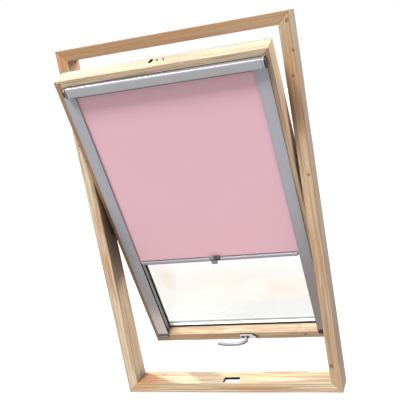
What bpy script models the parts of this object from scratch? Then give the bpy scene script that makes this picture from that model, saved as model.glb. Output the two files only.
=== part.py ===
"""Centre-pivot roof window in pine, half open, with a cassette roller blind on its sash.

World X runs to the right, Z up, and the room is on the -Y side. The origin is the middle of the
sill's underside. The sash and all that it carries are modelled upright, as if the window were
closed, in the space of an empty on the pivot axis, and that empty is turned to the open angle.
In that space a depth is measured from the sash's room face, towards the outside.
"""
import math

import bmesh
import bpy
from mathutils import Matrix, Vector

# General clearances
FIT = 0.0003
MITRE_GAP = 0.0002
RUNNING_FIT = 0.0004
SOFTENED_EDGE = 0.0012
SHARP_EDGE = 0.0005

# Outer frame
FRAME_WIDTH = 0.740
FRAME_HEIGHT = 1.180
FRAME_DEPTH = 0.077
FRAME_FACE = 0.0355

# Pivot and sash
OPEN_ANGLE = math.radians(18.42)
PIVOT_RISE = 0.0056
PIVOT_BEHIND_FACE = 0.010
SASH_RECESS = 0.0421
SIDE_GAP = 0.0075
END_GAP = 0.025
STILE_WIDTH = 0.044
RAIL_HEIGHT = 0.041
RAIL_FACE = 0.0295
WOOD_DEPTH = 0.060
BOLT_HOLE_DEPTH = 0.016
BOLT_HOLE_BACK = 0.0425
BOLT_HOLE_HALF_WIDTHS = (0.0065, 0.0038, 0.0018)
BOLT_HOLE_HALF_LENGTHS = (0.015, 0.0065, 0.0145)
BOLT_HOLE_TURNS = (0.0, 0.0, math.radians(28))
BOLT_HOLE_SIDE = 0.027
BOLT_HOLE_SPACING = 0.0195

# Glazing
GLASS_BED = 0.030
GLASS_LAP = 0.0125
GLASS_CLEARANCE = 0.002
PANE = 0.004
SPACER_GAP = 0.014
SPACER_WIDTH = 0.008
SPACER_INSET = 0.002
TAPE_THICKNESS = 0.0015
TAPE_SHOWN = 0.0055
GASKET_WIDTH = 0.0036
COVER_SHEET = 0.0015
COVER_DEPTH = 0.009
COVER_SET_IN = 0.001

# Pivot hinge
PIN_RADIUS = 0.004
PIN_IN_JAMB = 0.008
PIN_IN_STILE = 0.009
HINGE_PLATE = 0.0028
HINGE_LENGTH = 0.072
HINGE_WIDTH = 0.030
HINGE_SCREW_SPREAD = 0.0045
SCREW_HEAD = 0.0030
SCREW_SHANK = 0.0015
SCREW_LENGTH = 0.014

# Handle, latch and keep
HUB_RISE = 0.0165
HUB_SIDE = 0.0165
ROSE_LEFT = 0.0185
ROSE_RIGHT = 0.0375
ROSE_TOP = 0.0115
ROSE_BOTTOM = 0.0075
ROSE_SLOPE = 0.0125
ROSE_DEPTH = 0.0085
ROSE_BACK = 0.0038
ROSE_FRONT = 0.0013
ROSE_WINDOW_LEFT = 0.0150
ROSE_WINDOW_RIGHT = 0.0130
ROSE_WINDOW_HALF = 0.0062
NECK_RADIUS = 0.0054
NECK_START = 0.010
NECK_LEAN = 0.0079
NECK_LEAN_AT = 0.0218
ELBOW = (0.0045, 0.027)
LEVER_LEAD = (-0.004, 0.040)
LEVER_SWELL = (-0.042, 0.0475)
LEVER_TIP = (-0.094, 0.0365)
LEVER_TAPER = 0.25
LEVER_STEPS = 10
SPINDLE = 0.005
SPINDLE_IN_WOOD = 0.014
CAM_THICKNESS = 0.0028
CAM_BITE = 0.0013
CAM_HUB = 0.0070
CAM_TIP = 0.004
KEEP_SIDE = 0.001
KEEP_HALF = 0.0285
KEEP_FRONT = 0.0035
KEEP_DEPTH = 0.0365
KEEP_CUP = 0.008
KEEP_WALL = 0.001
KEEP_SCREW_SIDE = 0.017

# Blind: cassette and roller
CASSETTE_DROP = 0.0215
CASSETTE_HEIGHT = 0.029
CASSETTE_PROUD = 0.020
CASSETTE_SHEET = 0.0014
CASSETTE_ROUND = 0.005
CASSETTE_PAST_GUIDE = {"left": 0.0123, "right": 0.0295}
CASSETTE_CAP = {"left": 0.0077, "right": 0.0114}
CASSETTE_LIP = 0.004
CASSETTE_SLOT = 0.007
ROLLER_RISE = 0.0145
CATCH_RADIUS = 0.0042
CATCH_LENGTH = 0.0045
CATCH_DROP = 0.0065
TUBE_RADIUS = 0.0078
TUBE_WALL = 0.0010
TUBE_END_GAP = 0.004
ROLL_BUILD = 0.0013
ROLLER_PIN = 0.0025
PIN_IN_CAP = 0.0045
PLUG_LENGTH = 0.012
SPRING_BARREL = 0.130
SPRING_RADIUS = 0.0052

# Blind: guides, fabric and bar
GUIDE_WIDTH = 0.037
GUIDE_THICKNESS = 0.0117
GUIDE_PROUD = 0.004
GUIDE_MARGIN = 0.015
GUIDE_TOP_GAP = 0.002
GUIDE_STOP = 0.0055
GUIDE_CAP = 0.0035
GROOVE_DEPTH = 0.011
GROOVE_WIDTH = 0.007
FABRIC_DEPTH = 0.003
FABRIC_THICKNESS = 0.0008
FABRIC_LAP = 0.0072
BLIND_DROP = 0.6365
BAR_HEIGHT = 0.012
BAR_THICKNESS = 0.011
BAR_BEHIND = 0.0055
BAR_END_GAP = 0.005
GLIDE_THICKNESS = 0.006
GLIDE_LAP = 0.0105
GRIP_LEFT = 0.022
GRIP_RIGHT = 0.013
GRIP_ABOVE = 0.0092
GRIP_BELOW = 0.0070
GRIP_PROUD = 0.006
TONGUE_LEFT = 0.0208
TONGUE_RIGHT = 0.001
TONGUE_BELOW = 0.0235
TONGUE_THICKNESS = 0.003

# Sizes that follow from those above
OPENING_HALF_WIDTH = FRAME_WIDTH / 2 - FRAME_FACE
OPENING_HALF_HEIGHT = FRAME_HEIGHT / 2 - FRAME_FACE
SASH_HALF_WIDTH = OPENING_HALF_WIDTH - SIDE_GAP
SASH_HALF_HEIGHT = OPENING_HALF_HEIGHT - END_GAP
SASH_INNER_WIDTH = SASH_HALF_WIDTH - STILE_WIDTH
SASH_INNER_HEIGHT = SASH_HALF_HEIGHT - RAIL_HEIGHT
SASH_DEPTH = WOOD_DEPTH + COVER_DEPTH
BED_HALF_WIDTH = SASH_INNER_WIDTH + GLASS_LAP
BED_HALF_HEIGHT = SASH_INNER_HEIGHT + GLASS_LAP
GLASS_HALF_WIDTH = BED_HALF_WIDTH - GLASS_CLEARANCE
GLASS_HALF_HEIGHT = BED_HALF_HEIGHT - GLASS_CLEARANCE
INNER_PANE_FRONT = GLASS_BED + FIT + TAPE_THICKNESS + FIT
SPACER_FRONT = INNER_PANE_FRONT + PANE + FIT
OUTER_PANE_FRONT = SPACER_FRONT + SPACER_GAP + FIT
GLASS_BACK = OUTER_PANE_FRONT + PANE
PIVOT_Y = -FRAME_DEPTH / 2 + SASH_RECESS + PIVOT_BEHIND_FACE
PIVOT_Z = FRAME_HEIGHT / 2 + PIVOT_RISE
HUB_Z = -(SASH_HALF_HEIGHT - HUB_RISE)
HUB_TO_SILL = OPENING_HALF_HEIGHT + PIVOT_RISE + HUB_Z
CAM_REACH = HUB_TO_SILL + CAM_BITE
CAM_FRONT = (ROSE_BACK + ROSE_DEPTH - ROSE_FRONT + CAM_THICKNESS) / 2
CASSETTE_TOP = SASH_HALF_HEIGHT - CASSETTE_DROP
CASSETTE_BOTTOM = CASSETTE_TOP - CASSETTE_HEIGHT
ROLL_RADIUS = TUBE_RADIUS + ROLL_BUILD + FIT
ROLLER_FRONT = ROLL_RADIUS - FABRIC_DEPTH + FABRIC_THICKNESS / 2
ROLLER_Z = CASSETTE_BOTTOM + ROLLER_RISE
GUIDE_OUTER = SASH_HALF_WIDTH - GUIDE_MARGIN
GUIDE_INNER = GUIDE_OUTER - GUIDE_WIDTH
CASSETTE_END = {side: GUIDE_INNER + past for side, past in CASSETTE_PAST_GUIDE.items()}
GUIDE_TOP = CASSETTE_BOTTOM - GUIDE_TOP_GAP
GUIDE_BOTTOM = -(SASH_HALF_HEIGHT - RAIL_FACE) + GUIDE_STOP
BAR_TOP = CASSETTE_BOTTOM - BLIND_DROP
BAR_HALF = GUIDE_INNER - BAR_END_GAP
SILL_TOP = FRAME_FACE


def start_empty():
    for obj in list(bpy.data.objects):
        bpy.data.objects.remove(obj, do_unlink=True)
    for old in list(bpy.data.collections):
        bpy.data.collections.remove(old)


start_empty()
window = bpy.data.collections.new("roof_window_with_blind")
cutters = bpy.data.collections.new("cutters")
for group in (window, cutters):
    bpy.context.scene.collection.children.link(group)


def material(name, color, roughness, metallic=0.0, alpha=1.0):
    made = bpy.data.materials.new(name)
    made.use_nodes = True
    shader = made.node_tree.nodes["Principled BSDF"]
    shader.inputs["Base Color"].default_value = (*color, 1.0)
    shader.inputs["Roughness"].default_value = roughness
    shader.inputs["Metallic"].default_value = metallic
    shader.inputs["Alpha"].default_value = alpha
    made.diffuse_color = (*color, alpha)
    return made


PINE = material("pine", (0.62, 0.43, 0.25), 0.5)
GLASS = material("glass", (0.86, 0.92, 0.92), 0.05, alpha=0.3)
BLACK_RUBBER = material("black_rubber", (0.02, 0.02, 0.02), 0.6)
WHITE_TAPE = material("white_tape", (0.75, 0.75, 0.73), 0.6)
COVER_GREY = material("cover_grey", (0.16, 0.17, 0.18), 0.45, 0.6)
SILVER = material("silver_anodised", (0.50, 0.51, 0.54), 0.38, 0.7)
ZINC = material("zinc", (0.62, 0.62, 0.62), 0.35, 0.9)
HANDLE_SILVER = material("handle_silver", (0.70, 0.71, 0.72), 0.3, 0.6)
GREY_PLASTIC = material("grey_plastic", (0.22, 0.22, 0.23), 0.5)
LIGHT_PLASTIC = material("light_plastic", (0.62, 0.62, 0.64), 0.45)
WHITE_PLASTIC = material("white_plastic", (0.85, 0.85, 0.84), 0.4)
PINK_FABRIC = material("pink_fabric", (0.77, 0.48, 0.53), 0.85)


def empty(name, location, parent=None):
    obj = bpy.data.objects.new(name, None)
    obj.location = location
    obj.parent = parent
    window.objects.link(obj)
    return obj


def evaluated(obj):
    bpy.context.view_layer.update()
    graph = bpy.context.evaluated_depsgraph_get()
    return bpy.data.meshes.new_from_object(obj.evaluated_get(graph))


def tidy(mesh):
    shape = bmesh.new()
    shape.from_mesh(mesh)
    bmesh.ops.remove_doubles(shape, verts=shape.verts, dist=1e-6)
    bmesh.ops.recalc_face_normals(shape, faces=shape.faces)
    shape.to_mesh(mesh)
    shape.free()
    return mesh


# Turns the plane that an outline is drawn in, and the way it is extruded, into a world direction
ALONG = {
    "Z": Matrix.Identity(4),
    "X": Matrix(((0, 0, 1, 0), (1, 0, 0, 0), (0, 1, 0, 0), (0, 0, 0, 1))),
    "Y": Matrix(((1, 0, 0, 0), (0, 0, -1, 0), (0, 1, 0, 0), (0, 0, 0, 1))),
}


def extruded(along, outlines, half_length, length_at=None):
    """Solid from closed flat outlines. They are (x, y) points along Z, (y, z) along X and (x, z) along Y.

    length_at gives the half length at a point of the section, for ends that aren't square.
    """
    curve = bpy.data.curves.new("outline", "CURVE")
    curve.dimensions = "2D"
    curve.fill_mode = "BOTH"
    curve.extrude = half_length
    for outline in outlines:
        spline = curve.splines.new("POLY")
        spline.points.add(len(outline) - 1)
        spline.use_cyclic_u = True
        for point, (a, b) in zip(spline.points, outline):
            point.co = (a, b, 0.0, 1.0)
    holder = bpy.data.objects.new("outline", curve)
    window.objects.link(holder)
    mesh = evaluated(holder)
    bpy.data.objects.remove(holder)
    if length_at:
        for vertex in mesh.vertices:
            vertex.co.z = math.copysign(length_at(vertex.co.x, vertex.co.y), vertex.co.z)
    mesh.transform(ALONG[along])
    return tidy(mesh)


def box(low, high):
    mesh = bpy.data.meshes.new("box")
    shape = bmesh.new()
    bmesh.ops.create_cube(shape, size=1.0)
    size = Vector(high) - Vector(low)
    bmesh.ops.scale(shape, vec=size, verts=shape.verts)
    bmesh.ops.translate(shape, vec=Vector(low) + size / 2, verts=shape.verts)
    shape.to_mesh(mesh)
    shape.free()
    return mesh


# Turns a solid made about the Z axis so that its top faces the named way
FACING = {
    "+Z": Matrix.Identity(4),
    "-Z": Matrix.Rotation(math.pi, 4, "X"),
    "-Y": Matrix.Rotation(math.pi / 2, 4, "X"),
    "+Y": Matrix.Rotation(-math.pi / 2, 4, "X"),
    "+X": Matrix.Rotation(math.pi / 2, 4, "Y"),
    "-X": Matrix.Rotation(-math.pi / 2, 4, "Y"),
}


def turned(profile, facing, steps=20, closed=False):
    """Solid of revolution from (radius, height) points, from the top down the outer side."""
    mesh = bpy.data.meshes.new("profile")
    edges = [(i, i + 1) for i in range(len(profile) - 1)]
    if closed:
        edges.append((len(profile) - 1, 0))
    mesh.from_pydata([(radius, 0.0, height) for radius, height in profile], edges, [])
    holder = bpy.data.objects.new("profile", mesh)
    window.objects.link(holder)
    screw = holder.modifiers.new("turn", "SCREW")
    screw.axis = "Z"
    screw.steps = steps
    screw.render_steps = steps
    screw.use_merge_vertices = True
    screw.merge_threshold = 1e-5
    turned_mesh = evaluated(holder)
    bpy.data.objects.remove(holder)
    turned_mesh.transform(FACING[facing])
    return tidy(turned_mesh)


def copies(mesh, places):
    """One mesh that holds the given mesh once at each place."""
    shape = bmesh.new()
    for place in places:
        part = mesh.copy()
        part.transform(Matrix.Translation(place))
        shape.from_mesh(part)
    joined = bpy.data.meshes.new("copies")
    shape.to_mesh(joined)
    shape.free()
    return joined


def add(name, mesh, look, parent=None, origin=None, smooth=False):
    """Make the named piece, with its origin at the given point of its parent, or at its middle."""
    corners = [vertex.co for vertex in mesh.vertices]
    if origin is None:
        origin = [(min(c[i] for c in corners) + max(c[i] for c in corners)) / 2 for i in range(3)]
    origin = Vector(origin)
    mesh.transform(Matrix.Translation(-origin))
    obj = bpy.data.objects.new(name, mesh)
    mesh.materials.append(look)
    obj.location = origin
    obj.parent = parent
    window.objects.link(obj)
    if smooth:
        mesh.shade_smooth()
        mesh.set_sharp_from_angle(angle=math.radians(35))
    return obj


def soften(obj, width=SOFTENED_EDGE, segments=2):
    bevel = obj.modifiers.new("softened_edges", "BEVEL")
    bevel.width = width
    bevel.segments = segments
    bevel.limit_method = "ANGLE"
    bevel.angle_limit = math.radians(30)


def cutter(mesh, parent=None):
    obj = bpy.data.objects.new("cutter", mesh)
    obj.parent = parent
    obj.hide_render = True
    obj.display_type = "WIRE"
    cutters.objects.link(obj)
    return obj


def cut(obj, tool, operation="DIFFERENCE"):
    boolean = obj.modifiers.new(operation.lower(), "BOOLEAN")
    boolean.operation = operation
    boolean.solver = "EXACT"
    boolean.object = tool


def sheet_outline(path, thickness):
    """Outline of a bent sheet: the path on one side, and its offset to the left on the other."""
    offset = []
    for i, point in enumerate(path):
        here = Vector(point)
        before = Vector(path[max(i - 1, 0)])
        after = Vector(path[min(i + 1, len(path) - 1)])
        into = (here - before).normalized() if i > 0 else (after - here).normalized()
        out = (after - here).normalized() if i < len(path) - 1 else into
        bisector = (into + out).normalized()
        stretch = 1 / max(bisector.dot(into), 0.3)
        offset.append(here + Vector((-bisector.y, bisector.x)) * thickness * stretch)
    return list(path) + [tuple(point) for point in reversed(offset)]


def arc(centre, radius, start, end, steps):
    """Points on an arc between two angles in degrees."""
    angles = [math.radians(start + (end - start) * i / steps) for i in range(steps + 1)]
    return [(centre[0] + radius * math.cos(a), centre[1] + radius * math.sin(a)) for a in angles]


def rectangle(left, bottom, right, top):
    return [(left, bottom), (right, bottom), (right, top), (left, top)]


sash = empty("sash_pivot_axis", (0.0, PIVOT_Y, PIVOT_Z))
sash.rotation_euler = (OPEN_ANGLE, 0.0, 0.0)
handle = empty("handle_axis", (HUB_SIDE, -PIVOT_BEHIND_FACE, HUB_Z), sash)
roller = empty("roller_axis", (0.0, -PIVOT_BEHIND_FACE - ROLLER_FRONT, ROLLER_Z), sash)
bar_slide = empty("blind_slide", (0.0, -PIVOT_BEHIND_FACE, BAR_TOP), sash)
SIDES = {"left": -1, "right": 1}


def depth(d):
    """Y in the sash's space of a depth behind the sash's room face."""
    return d - PIVOT_BEHIND_FACE


def add_screw(name, facing, place, parent=None):
    """Countersunk wood screw with the top of its head at the given place."""
    head_height = SCREW_HEAD - SCREW_SHANK
    profile = [
        (0.0, 0.0),
        (SCREW_HEAD, 0.0),
        (SCREW_SHANK, -head_height),
        (SCREW_SHANK, -SCREW_LENGTH + SCREW_SHANK),
        (0.0, -SCREW_LENGTH),
    ]
    mesh = turned(profile, facing, steps=10)
    mesh.transform(Matrix.Translation(place))
    add(name, mesh, ZINC, parent, origin=place, smooth=True)


def screw_hole(facing):
    """The space of the same screw with its clearance, open above the head."""
    head_height = SCREW_HEAD - SCREW_SHANK
    above = SCREW_SHANK
    profile = [
        (0.0, above),
        (SCREW_HEAD + 2 * FIT + above, above),
        (SCREW_SHANK + FIT, -head_height - FIT),
        (SCREW_SHANK + FIT, -SCREW_LENGTH - FIT),
        (0.0, -SCREW_LENGTH - FIT),
    ]
    return turned(profile, facing, steps=10)


def build_frame():
    half_depth = FRAME_DEPTH / 2

    def jamb_half_height(x, _):
        return FRAME_HEIGHT / 2 - (FRAME_WIDTH / 2 - abs(x)) - MITRE_GAP

    def head_half_width(_, z):
        return FRAME_WIDTH / 2 - (FRAME_HEIGHT / 2 - abs(z)) - MITRE_GAP

    boards = {}
    for side, sign in SIDES.items():
        outline = rectangle(sign * OPENING_HALF_WIDTH, -half_depth, sign * FRAME_WIDTH / 2, half_depth)
        mesh = extruded("Z", [outline], FRAME_HEIGHT / 2, jamb_half_height)
        mesh.transform(Matrix.Translation((0, 0, FRAME_HEIGHT / 2)))
        boards[side] = add("frame_jamb_" + side, mesh, PINE)
    for name, sign in (("frame_sill", -1), ("frame_head", 1)):
        outline = rectangle(-half_depth, sign * OPENING_HALF_HEIGHT, half_depth, sign * FRAME_HEIGHT / 2)
        mesh = extruded("X", [outline], FRAME_WIDTH / 2, head_half_width)
        mesh.transform(Matrix.Translation((0, 0, FRAME_HEIGHT / 2)))
        boards[name] = add(name, mesh, PINE)
    for board in boards.values():
        soften(board)
    return boards


def build_keep(boards):
    """Metal cup let into the sill. The tip of the latch cam dips into it behind its outer wall."""
    low = Vector((KEEP_SIDE - KEEP_HALF, KEEP_FRONT - FRAME_DEPTH / 2, SILL_TOP - KEEP_CUP))
    high = Vector((KEEP_SIDE + KEEP_HALF, low.y + KEEP_DEPTH, SILL_TOP))
    wall = Vector((KEEP_WALL, KEEP_WALL, KEEP_WALL))
    above = Vector((0, 0, KEEP_CUP))
    keep = add("keep", box(low, high), ZINC)
    cut(keep, cutter(box(low + wall, high + above - Vector((KEEP_WALL, KEEP_WALL, 0)))))
    middle = (low + high) / 2
    floor = low.z + KEEP_WALL
    places = [(middle.x + sign * KEEP_SCREW_SIDE, middle.y, floor) for sign in SIDES.values()]
    holes = cutter(copies(screw_hole("+Z"), places))
    cut(keep, holes)
    for side, place in zip(SIDES, places):
        add_screw("keep_screw_" + side, "+Z", place)
    fit = Vector((FIT, FIT, FIT))
    cut(boards["frame_sill"], cutter(box(low - fit, high + fit + above)))
    cut(boards["frame_sill"], holes)


def hinge_outline(centre_y, centre_z):
    """Plate with round ends, set so that the pivot lies near its room edge."""
    half = HINGE_LENGTH / 2 - HINGE_WIDTH / 2
    radius = HINGE_WIDTH / 2
    upper = arc((centre_y, centre_z + half), radius, 0, 180, 8)
    lower = arc((centre_y, centre_z - half), radius, 180, 360, 8)
    return upper + lower


def build_hinges(boards, stiles):
    """Plates on jambs and stiles, with a pivot pin through both on each side."""
    plate_shift = HINGE_WIDTH / 2 - PIVOT_BEHIND_FACE + SOFTENED_EDGE
    spread = HINGE_LENGTH / 2 - HINGE_SCREW_SPREAD - SCREW_HEAD
    for side, sign in SIDES.items():
        frame_x = sign * (OPENING_HALF_WIDTH - FIT - HINGE_PLATE / 2)
        sash_x = sign * (SASH_HALF_WIDTH + FIT + HINGE_PLATE / 2)
        jamb_plate = extruded("X", [hinge_outline(PIVOT_Y + plate_shift, PIVOT_Z)], HINGE_PLATE / 2)
        jamb_plate.transform(Matrix.Translation((frame_x, 0, 0)))
        jamb_plate = add("frame_hinge_plate_" + side, jamb_plate, ZINC, origin=(frame_x, PIVOT_Y, PIVOT_Z))
        stile_plate = extruded("X", [hinge_outline(plate_shift, 0)], HINGE_PLATE / 2)
        stile_plate.transform(Matrix.Translation((sash_x, 0, 0)))
        stile_plate = add("sash_hinge_plate_" + side, stile_plate, ZINC, sash, (sash_x, 0, 0))

        inner_end = SASH_HALF_WIDTH - PIN_IN_STILE
        outer_end = OPENING_HALF_WIDTH + PIN_IN_JAMB
        pin_profile = [(0, outer_end), (PIN_RADIUS, outer_end), (PIN_RADIUS, inner_end + SHARP_EDGE),
                       (PIN_RADIUS - SHARP_EDGE, inner_end), (0, inner_end)]
        outward = "+X" if sign > 0 else "-X"
        pin = turned(pin_profile, outward, steps=20)
        pin.transform(Matrix.Translation((0, PIVOT_Y, PIVOT_Z)))
        add("pivot_pin_" + side, pin, ZINC, origin=(0, PIVOT_Y, PIVOT_Z), smooth=True)
        bore_profile = [(0, outer_end + FIT), (PIN_RADIUS + FIT, outer_end + FIT),
                        (PIN_RADIUS + FIT, inner_end - FIT), (0, inner_end - FIT)]
        frame_bore = turned(bore_profile, outward, steps=20)
        frame_bore.transform(Matrix.Translation((0, PIVOT_Y, PIVOT_Z)))
        frame_bore = cutter(frame_bore)
        sash_bore = cutter(turned(bore_profile, outward, steps=20), sash)

        inward = "-X" if sign > 0 else "+X"
        plate_x = sign * (OPENING_HALF_WIDTH - FIT - HINGE_PLATE)
        stile_plate_x = sign * (SASH_HALF_WIDTH + FIT + HINGE_PLATE)
        jamb_places = [(plate_x, PIVOT_Y + plate_shift, PIVOT_Z + way * spread) for way in (-1, 1)]
        stile_places = [(stile_plate_x, plate_shift, way * spread) for way in (-1, 1)]
        for end, jamb_place, stile_place in zip(("lower", "upper"), jamb_places, stile_places):
            add_screw(f"frame_hinge_screw_{side}_{end}", inward, jamb_place)
            add_screw(f"sash_hinge_screw_{side}_{end}", outward, stile_place, sash)
        jamb_holes = cutter(copies(screw_hole(inward), jamb_places))
        stile_holes = cutter(copies(screw_hole(outward), stile_places), sash)
        for piece in (jamb_plate, boards[side]):
            cut(piece, frame_bore)
            cut(piece, jamb_holes)
        for piece in (stile_plate, stiles[side]):
            cut(piece, sash_bore)
            cut(piece, stile_holes)


def stile_half_height(x, _):
    slope = RAIL_HEIGHT / STILE_WIDTH
    return SASH_HALF_HEIGHT - (SASH_HALF_WIDTH - abs(x)) * slope - MITRE_GAP


def rail_half_width(_, z):
    slope = STILE_WIDTH / RAIL_HEIGHT
    return SASH_HALF_WIDTH - (SASH_HALF_HEIGHT - abs(z)) * slope - MITRE_GAP


def build_sash_wood():
    stiles = {}
    for side, sign in SIDES.items():
        outline = [
            (sign * SASH_HALF_WIDTH, depth(0)),
            (sign * SASH_HALF_WIDTH, depth(WOOD_DEPTH)),
            (sign * BED_HALF_WIDTH, depth(WOOD_DEPTH)),
            (sign * BED_HALF_WIDTH, depth(GLASS_BED)),
            (sign * SASH_INNER_WIDTH, depth(GLASS_BED)),
            (sign * SASH_INNER_WIDTH, depth(0)),
        ]
        mesh = extruded("Z", [outline], SASH_HALF_HEIGHT, stile_half_height)
        stiles[side] = add("sash_stile_" + side, mesh, PINE, sash)
    rails = {}
    for name, sign in (("sash_bottom_rail", -1), ("sash_top_rail", 1)):
        outline = [
            (depth(0), sign * SASH_HALF_HEIGHT),
            (depth(WOOD_DEPTH), sign * SASH_HALF_HEIGHT),
            (depth(WOOD_DEPTH), sign * BED_HALF_HEIGHT),
            (depth(GLASS_BED), sign * BED_HALF_HEIGHT),
            (depth(GLASS_BED), sign * SASH_INNER_HEIGHT),
            (depth(0), sign * (SASH_HALF_HEIGHT - RAIL_FACE)),
        ]
        mesh = extruded("X", [outline], SASH_HALF_WIDTH, rail_half_width)
        rails[name] = add(name, mesh, PINE, sash)
    for piece in (*stiles.values(), *rails.values()):
        soften(piece)

    rebate_depth = GUIDE_THICKNESS - GUIDE_PROUD + FIT
    rebate_top = ROLLER_Z + ROLL_RADIUS + RUNNING_FIT
    for side, sign in SIDES.items():
        inner = sign * (GUIDE_INNER - SIDE_GAP)
        outer = sign * (GUIDE_OUTER + FIT)
        low = (min(inner, outer), depth(-FRAME_FACE), GUIDE_BOTTOM - GUIDE_CAP - 2 * FIT)
        high = (max(inner, outer), depth(rebate_depth), rebate_top)
        rebate = cutter(box(low, high), sash)
        cut(stiles[side], rebate)
        cut(rails["sash_bottom_rail"], rebate)
    for i, (half, half_length) in enumerate(zip(BOLT_HOLE_HALF_WIDTHS, BOLT_HOLE_HALF_LENGTHS)):
        top = SASH_HALF_HEIGHT + half
        bottom = SASH_HALF_HEIGHT - BOLT_HOLE_DEPTH
        hole = turned([(0, top), (half, top), (half, bottom), (0, bottom - half / 2)], "+Z", steps=16)
        hole.transform(Matrix.Diagonal((1, half_length / half, 1, 1)))
        hole.transform(Matrix.Rotation(BOLT_HOLE_TURNS[i], 4, "Z"))
        hole.transform(Matrix.Translation((i * BOLT_HOLE_SPACING - BOLT_HOLE_SIDE, depth(BOLT_HOLE_BACK), 0)))
        cut(rails["sash_top_rail"], cutter(hole, sash))
    return stiles, rails


def slab(half_width, half_height, front, thickness, hole=None):
    """Flat sheet across the sash, from a depth backwards, with a rectangular hole if given."""
    outlines = [rectangle(-half_width, -half_height, half_width, half_height)]
    if hole:
        outlines.append(rectangle(-hole[0], -hole[1], hole[0], hole[1]))
    mesh = extruded("Y", outlines, thickness / 2)
    mesh.transform(Matrix.Translation((0, depth(front + thickness / 2), 0)))
    return mesh


def build_glazing():
    shown_width = SASH_INNER_WIDTH - TAPE_SHOWN
    shown_height = SASH_INNER_HEIGHT - FIT
    gasket_hole = (shown_width - GASKET_WIDTH, shown_height - GASKET_WIDTH)
    add("glazing_tape", slab(GLASS_HALF_WIDTH, GLASS_HALF_HEIGHT, GLASS_BED + FIT, TAPE_THICKNESS,
                             (shown_width, shown_height)), WHITE_TAPE, sash)
    add("glazing_gasket", slab(shown_width - FIT, shown_height - FIT, GLASS_BED + FIT, TAPE_THICKNESS,
                               gasket_hole), BLACK_RUBBER, sash)
    add("inner_pane", slab(GLASS_HALF_WIDTH, GLASS_HALF_HEIGHT, INNER_PANE_FRONT, PANE), GLASS, sash)
    spacer_outer = (GLASS_HALF_WIDTH - SPACER_INSET, GLASS_HALF_HEIGHT - SPACER_INSET)
    spacer_hole = (spacer_outer[0] - SPACER_WIDTH, spacer_outer[1] - SPACER_WIDTH)
    add("glass_spacer", slab(*spacer_outer, SPACER_FRONT, SPACER_GAP, spacer_hole), BLACK_RUBBER, sash)
    add("outer_pane", slab(GLASS_HALF_WIDTH, GLASS_HALF_HEIGHT, OUTER_PANE_FRONT, PANE), GLASS, sash)


def cover_path(outer, inner):
    """Section of a cover profile: from the wood's back edge, over it and down to the outer pane."""
    return [
        (outer - COVER_SET_IN, WOOD_DEPTH + FIT),
        (outer - COVER_SET_IN, SASH_DEPTH),
        (inner + COVER_DEPTH, SASH_DEPTH),
        (inner + COVER_SET_IN, GLASS_BACK + COVER_SHEET),
    ]


def build_covers():
    across = sheet_outline(cover_path(SASH_HALF_WIDTH, SASH_INNER_WIDTH), COVER_SHEET)
    for side, sign in SIDES.items():
        outline = [(sign * a, depth(d)) for a, d in across]
        mesh = extruded("Z", [outline], SASH_HALF_HEIGHT, stile_half_height)
        add("cover_" + side, mesh, COVER_GREY, sash)
    along = sheet_outline(cover_path(SASH_HALF_HEIGHT, SASH_INNER_HEIGHT), COVER_SHEET)
    for name, sign in (("cover_bottom", -1), ("cover_top", 1)):
        outline = [(depth(d), sign * a) for a, d in along]
        mesh = extruded("X", [outline], SASH_HALF_WIDTH, rail_half_width)
        add(name, mesh, COVER_GREY, sash)


def build_handle(bottom_rail):
    """Housing with the latch cam inside, and the lever whose neck and spindle turn the cam."""
    outline = [
        (-ROSE_LEFT, -ROSE_BOTTOM), (ROSE_RIGHT, -ROSE_BOTTOM), (ROSE_RIGHT, ROSE_TOP - ROSE_SLOPE),
        (ROSE_RIGHT - ROSE_SLOPE, ROSE_TOP), (-ROSE_LEFT, ROSE_TOP),
    ]
    housing = extruded("Y", [outline], (ROSE_DEPTH - FIT) / 2)
    housing.transform(Matrix.Translation(handle.location - Vector((0, (ROSE_DEPTH + FIT) / 2, 0))))
    rose = add("handle_rose", housing, HANDLE_SILVER, sash)
    room = CAM_HUB + FIT
    inside = ROSE_DEPTH - ROSE_FRONT
    cavity = box((-room, -inside, -2 * room), (2 * ROSE_RIGHT, -ROSE_BACK, room))
    window_outline = rectangle(-ROSE_WINDOW_LEFT, -ROSE_WINDOW_HALF, ROSE_WINDOW_RIGHT, ROSE_WINDOW_HALF)
    front_window = extruded("Y", [window_outline], 2 * ROSE_FRONT)
    front_window.transform(Matrix.Translation((0, -ROSE_DEPTH, 0)))
    bore_radius = SPINDLE / 2 * math.sqrt(2) + FIT
    bore_profile = [(0, NECK_START), (bore_radius, NECK_START),
                    (bore_radius, -SPINDLE_IN_WOOD - FIT), (0, -SPINDLE_IN_WOOD - FIT)]
    bore = cutter(turned(bore_profile, "-Y", steps=16), handle)
    cut(rose, cutter(cavity, handle))
    cut(rose, cutter(front_window, handle))
    cut(rose, bore)
    cut(bottom_rail, bore)

    neck_back = ROSE_BACK + FIT
    neck = turned([(0, NECK_START), (NECK_RADIUS, NECK_START), (NECK_RADIUS, neck_back), (0, neck_back)],
                  "-Y", steps=20)
    lever = add("handle_lever", neck, HANDLE_SILVER, handle, (0, 0, 0), smooth=True)
    half = SPINDLE / 2
    spindle = box((-half, -neck_back - SPINDLE, -half), (half, SPINDLE_IN_WOOD, half))
    cut(lever, cutter(spindle, handle), "UNION")
    cut(lever, cutter(lever_bar(), handle), "UNION")
    cam = extruded("Y", [cam_outline()], CAM_THICKNESS / 2)
    cam.transform(Matrix.Translation((0, CAM_THICKNESS / 2 - CAM_FRONT, 0)))
    cam = add("latch_cam", cam, ZINC, handle, (0, 0, 0))
    cam_hole = turned([(0, NECK_START), (NECK_RADIUS + FIT, NECK_START), (NECK_RADIUS + FIT, 0), (0, 0)],
                      "-Y", steps=20)
    cut(cam, cutter(cam_hole, handle))


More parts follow.
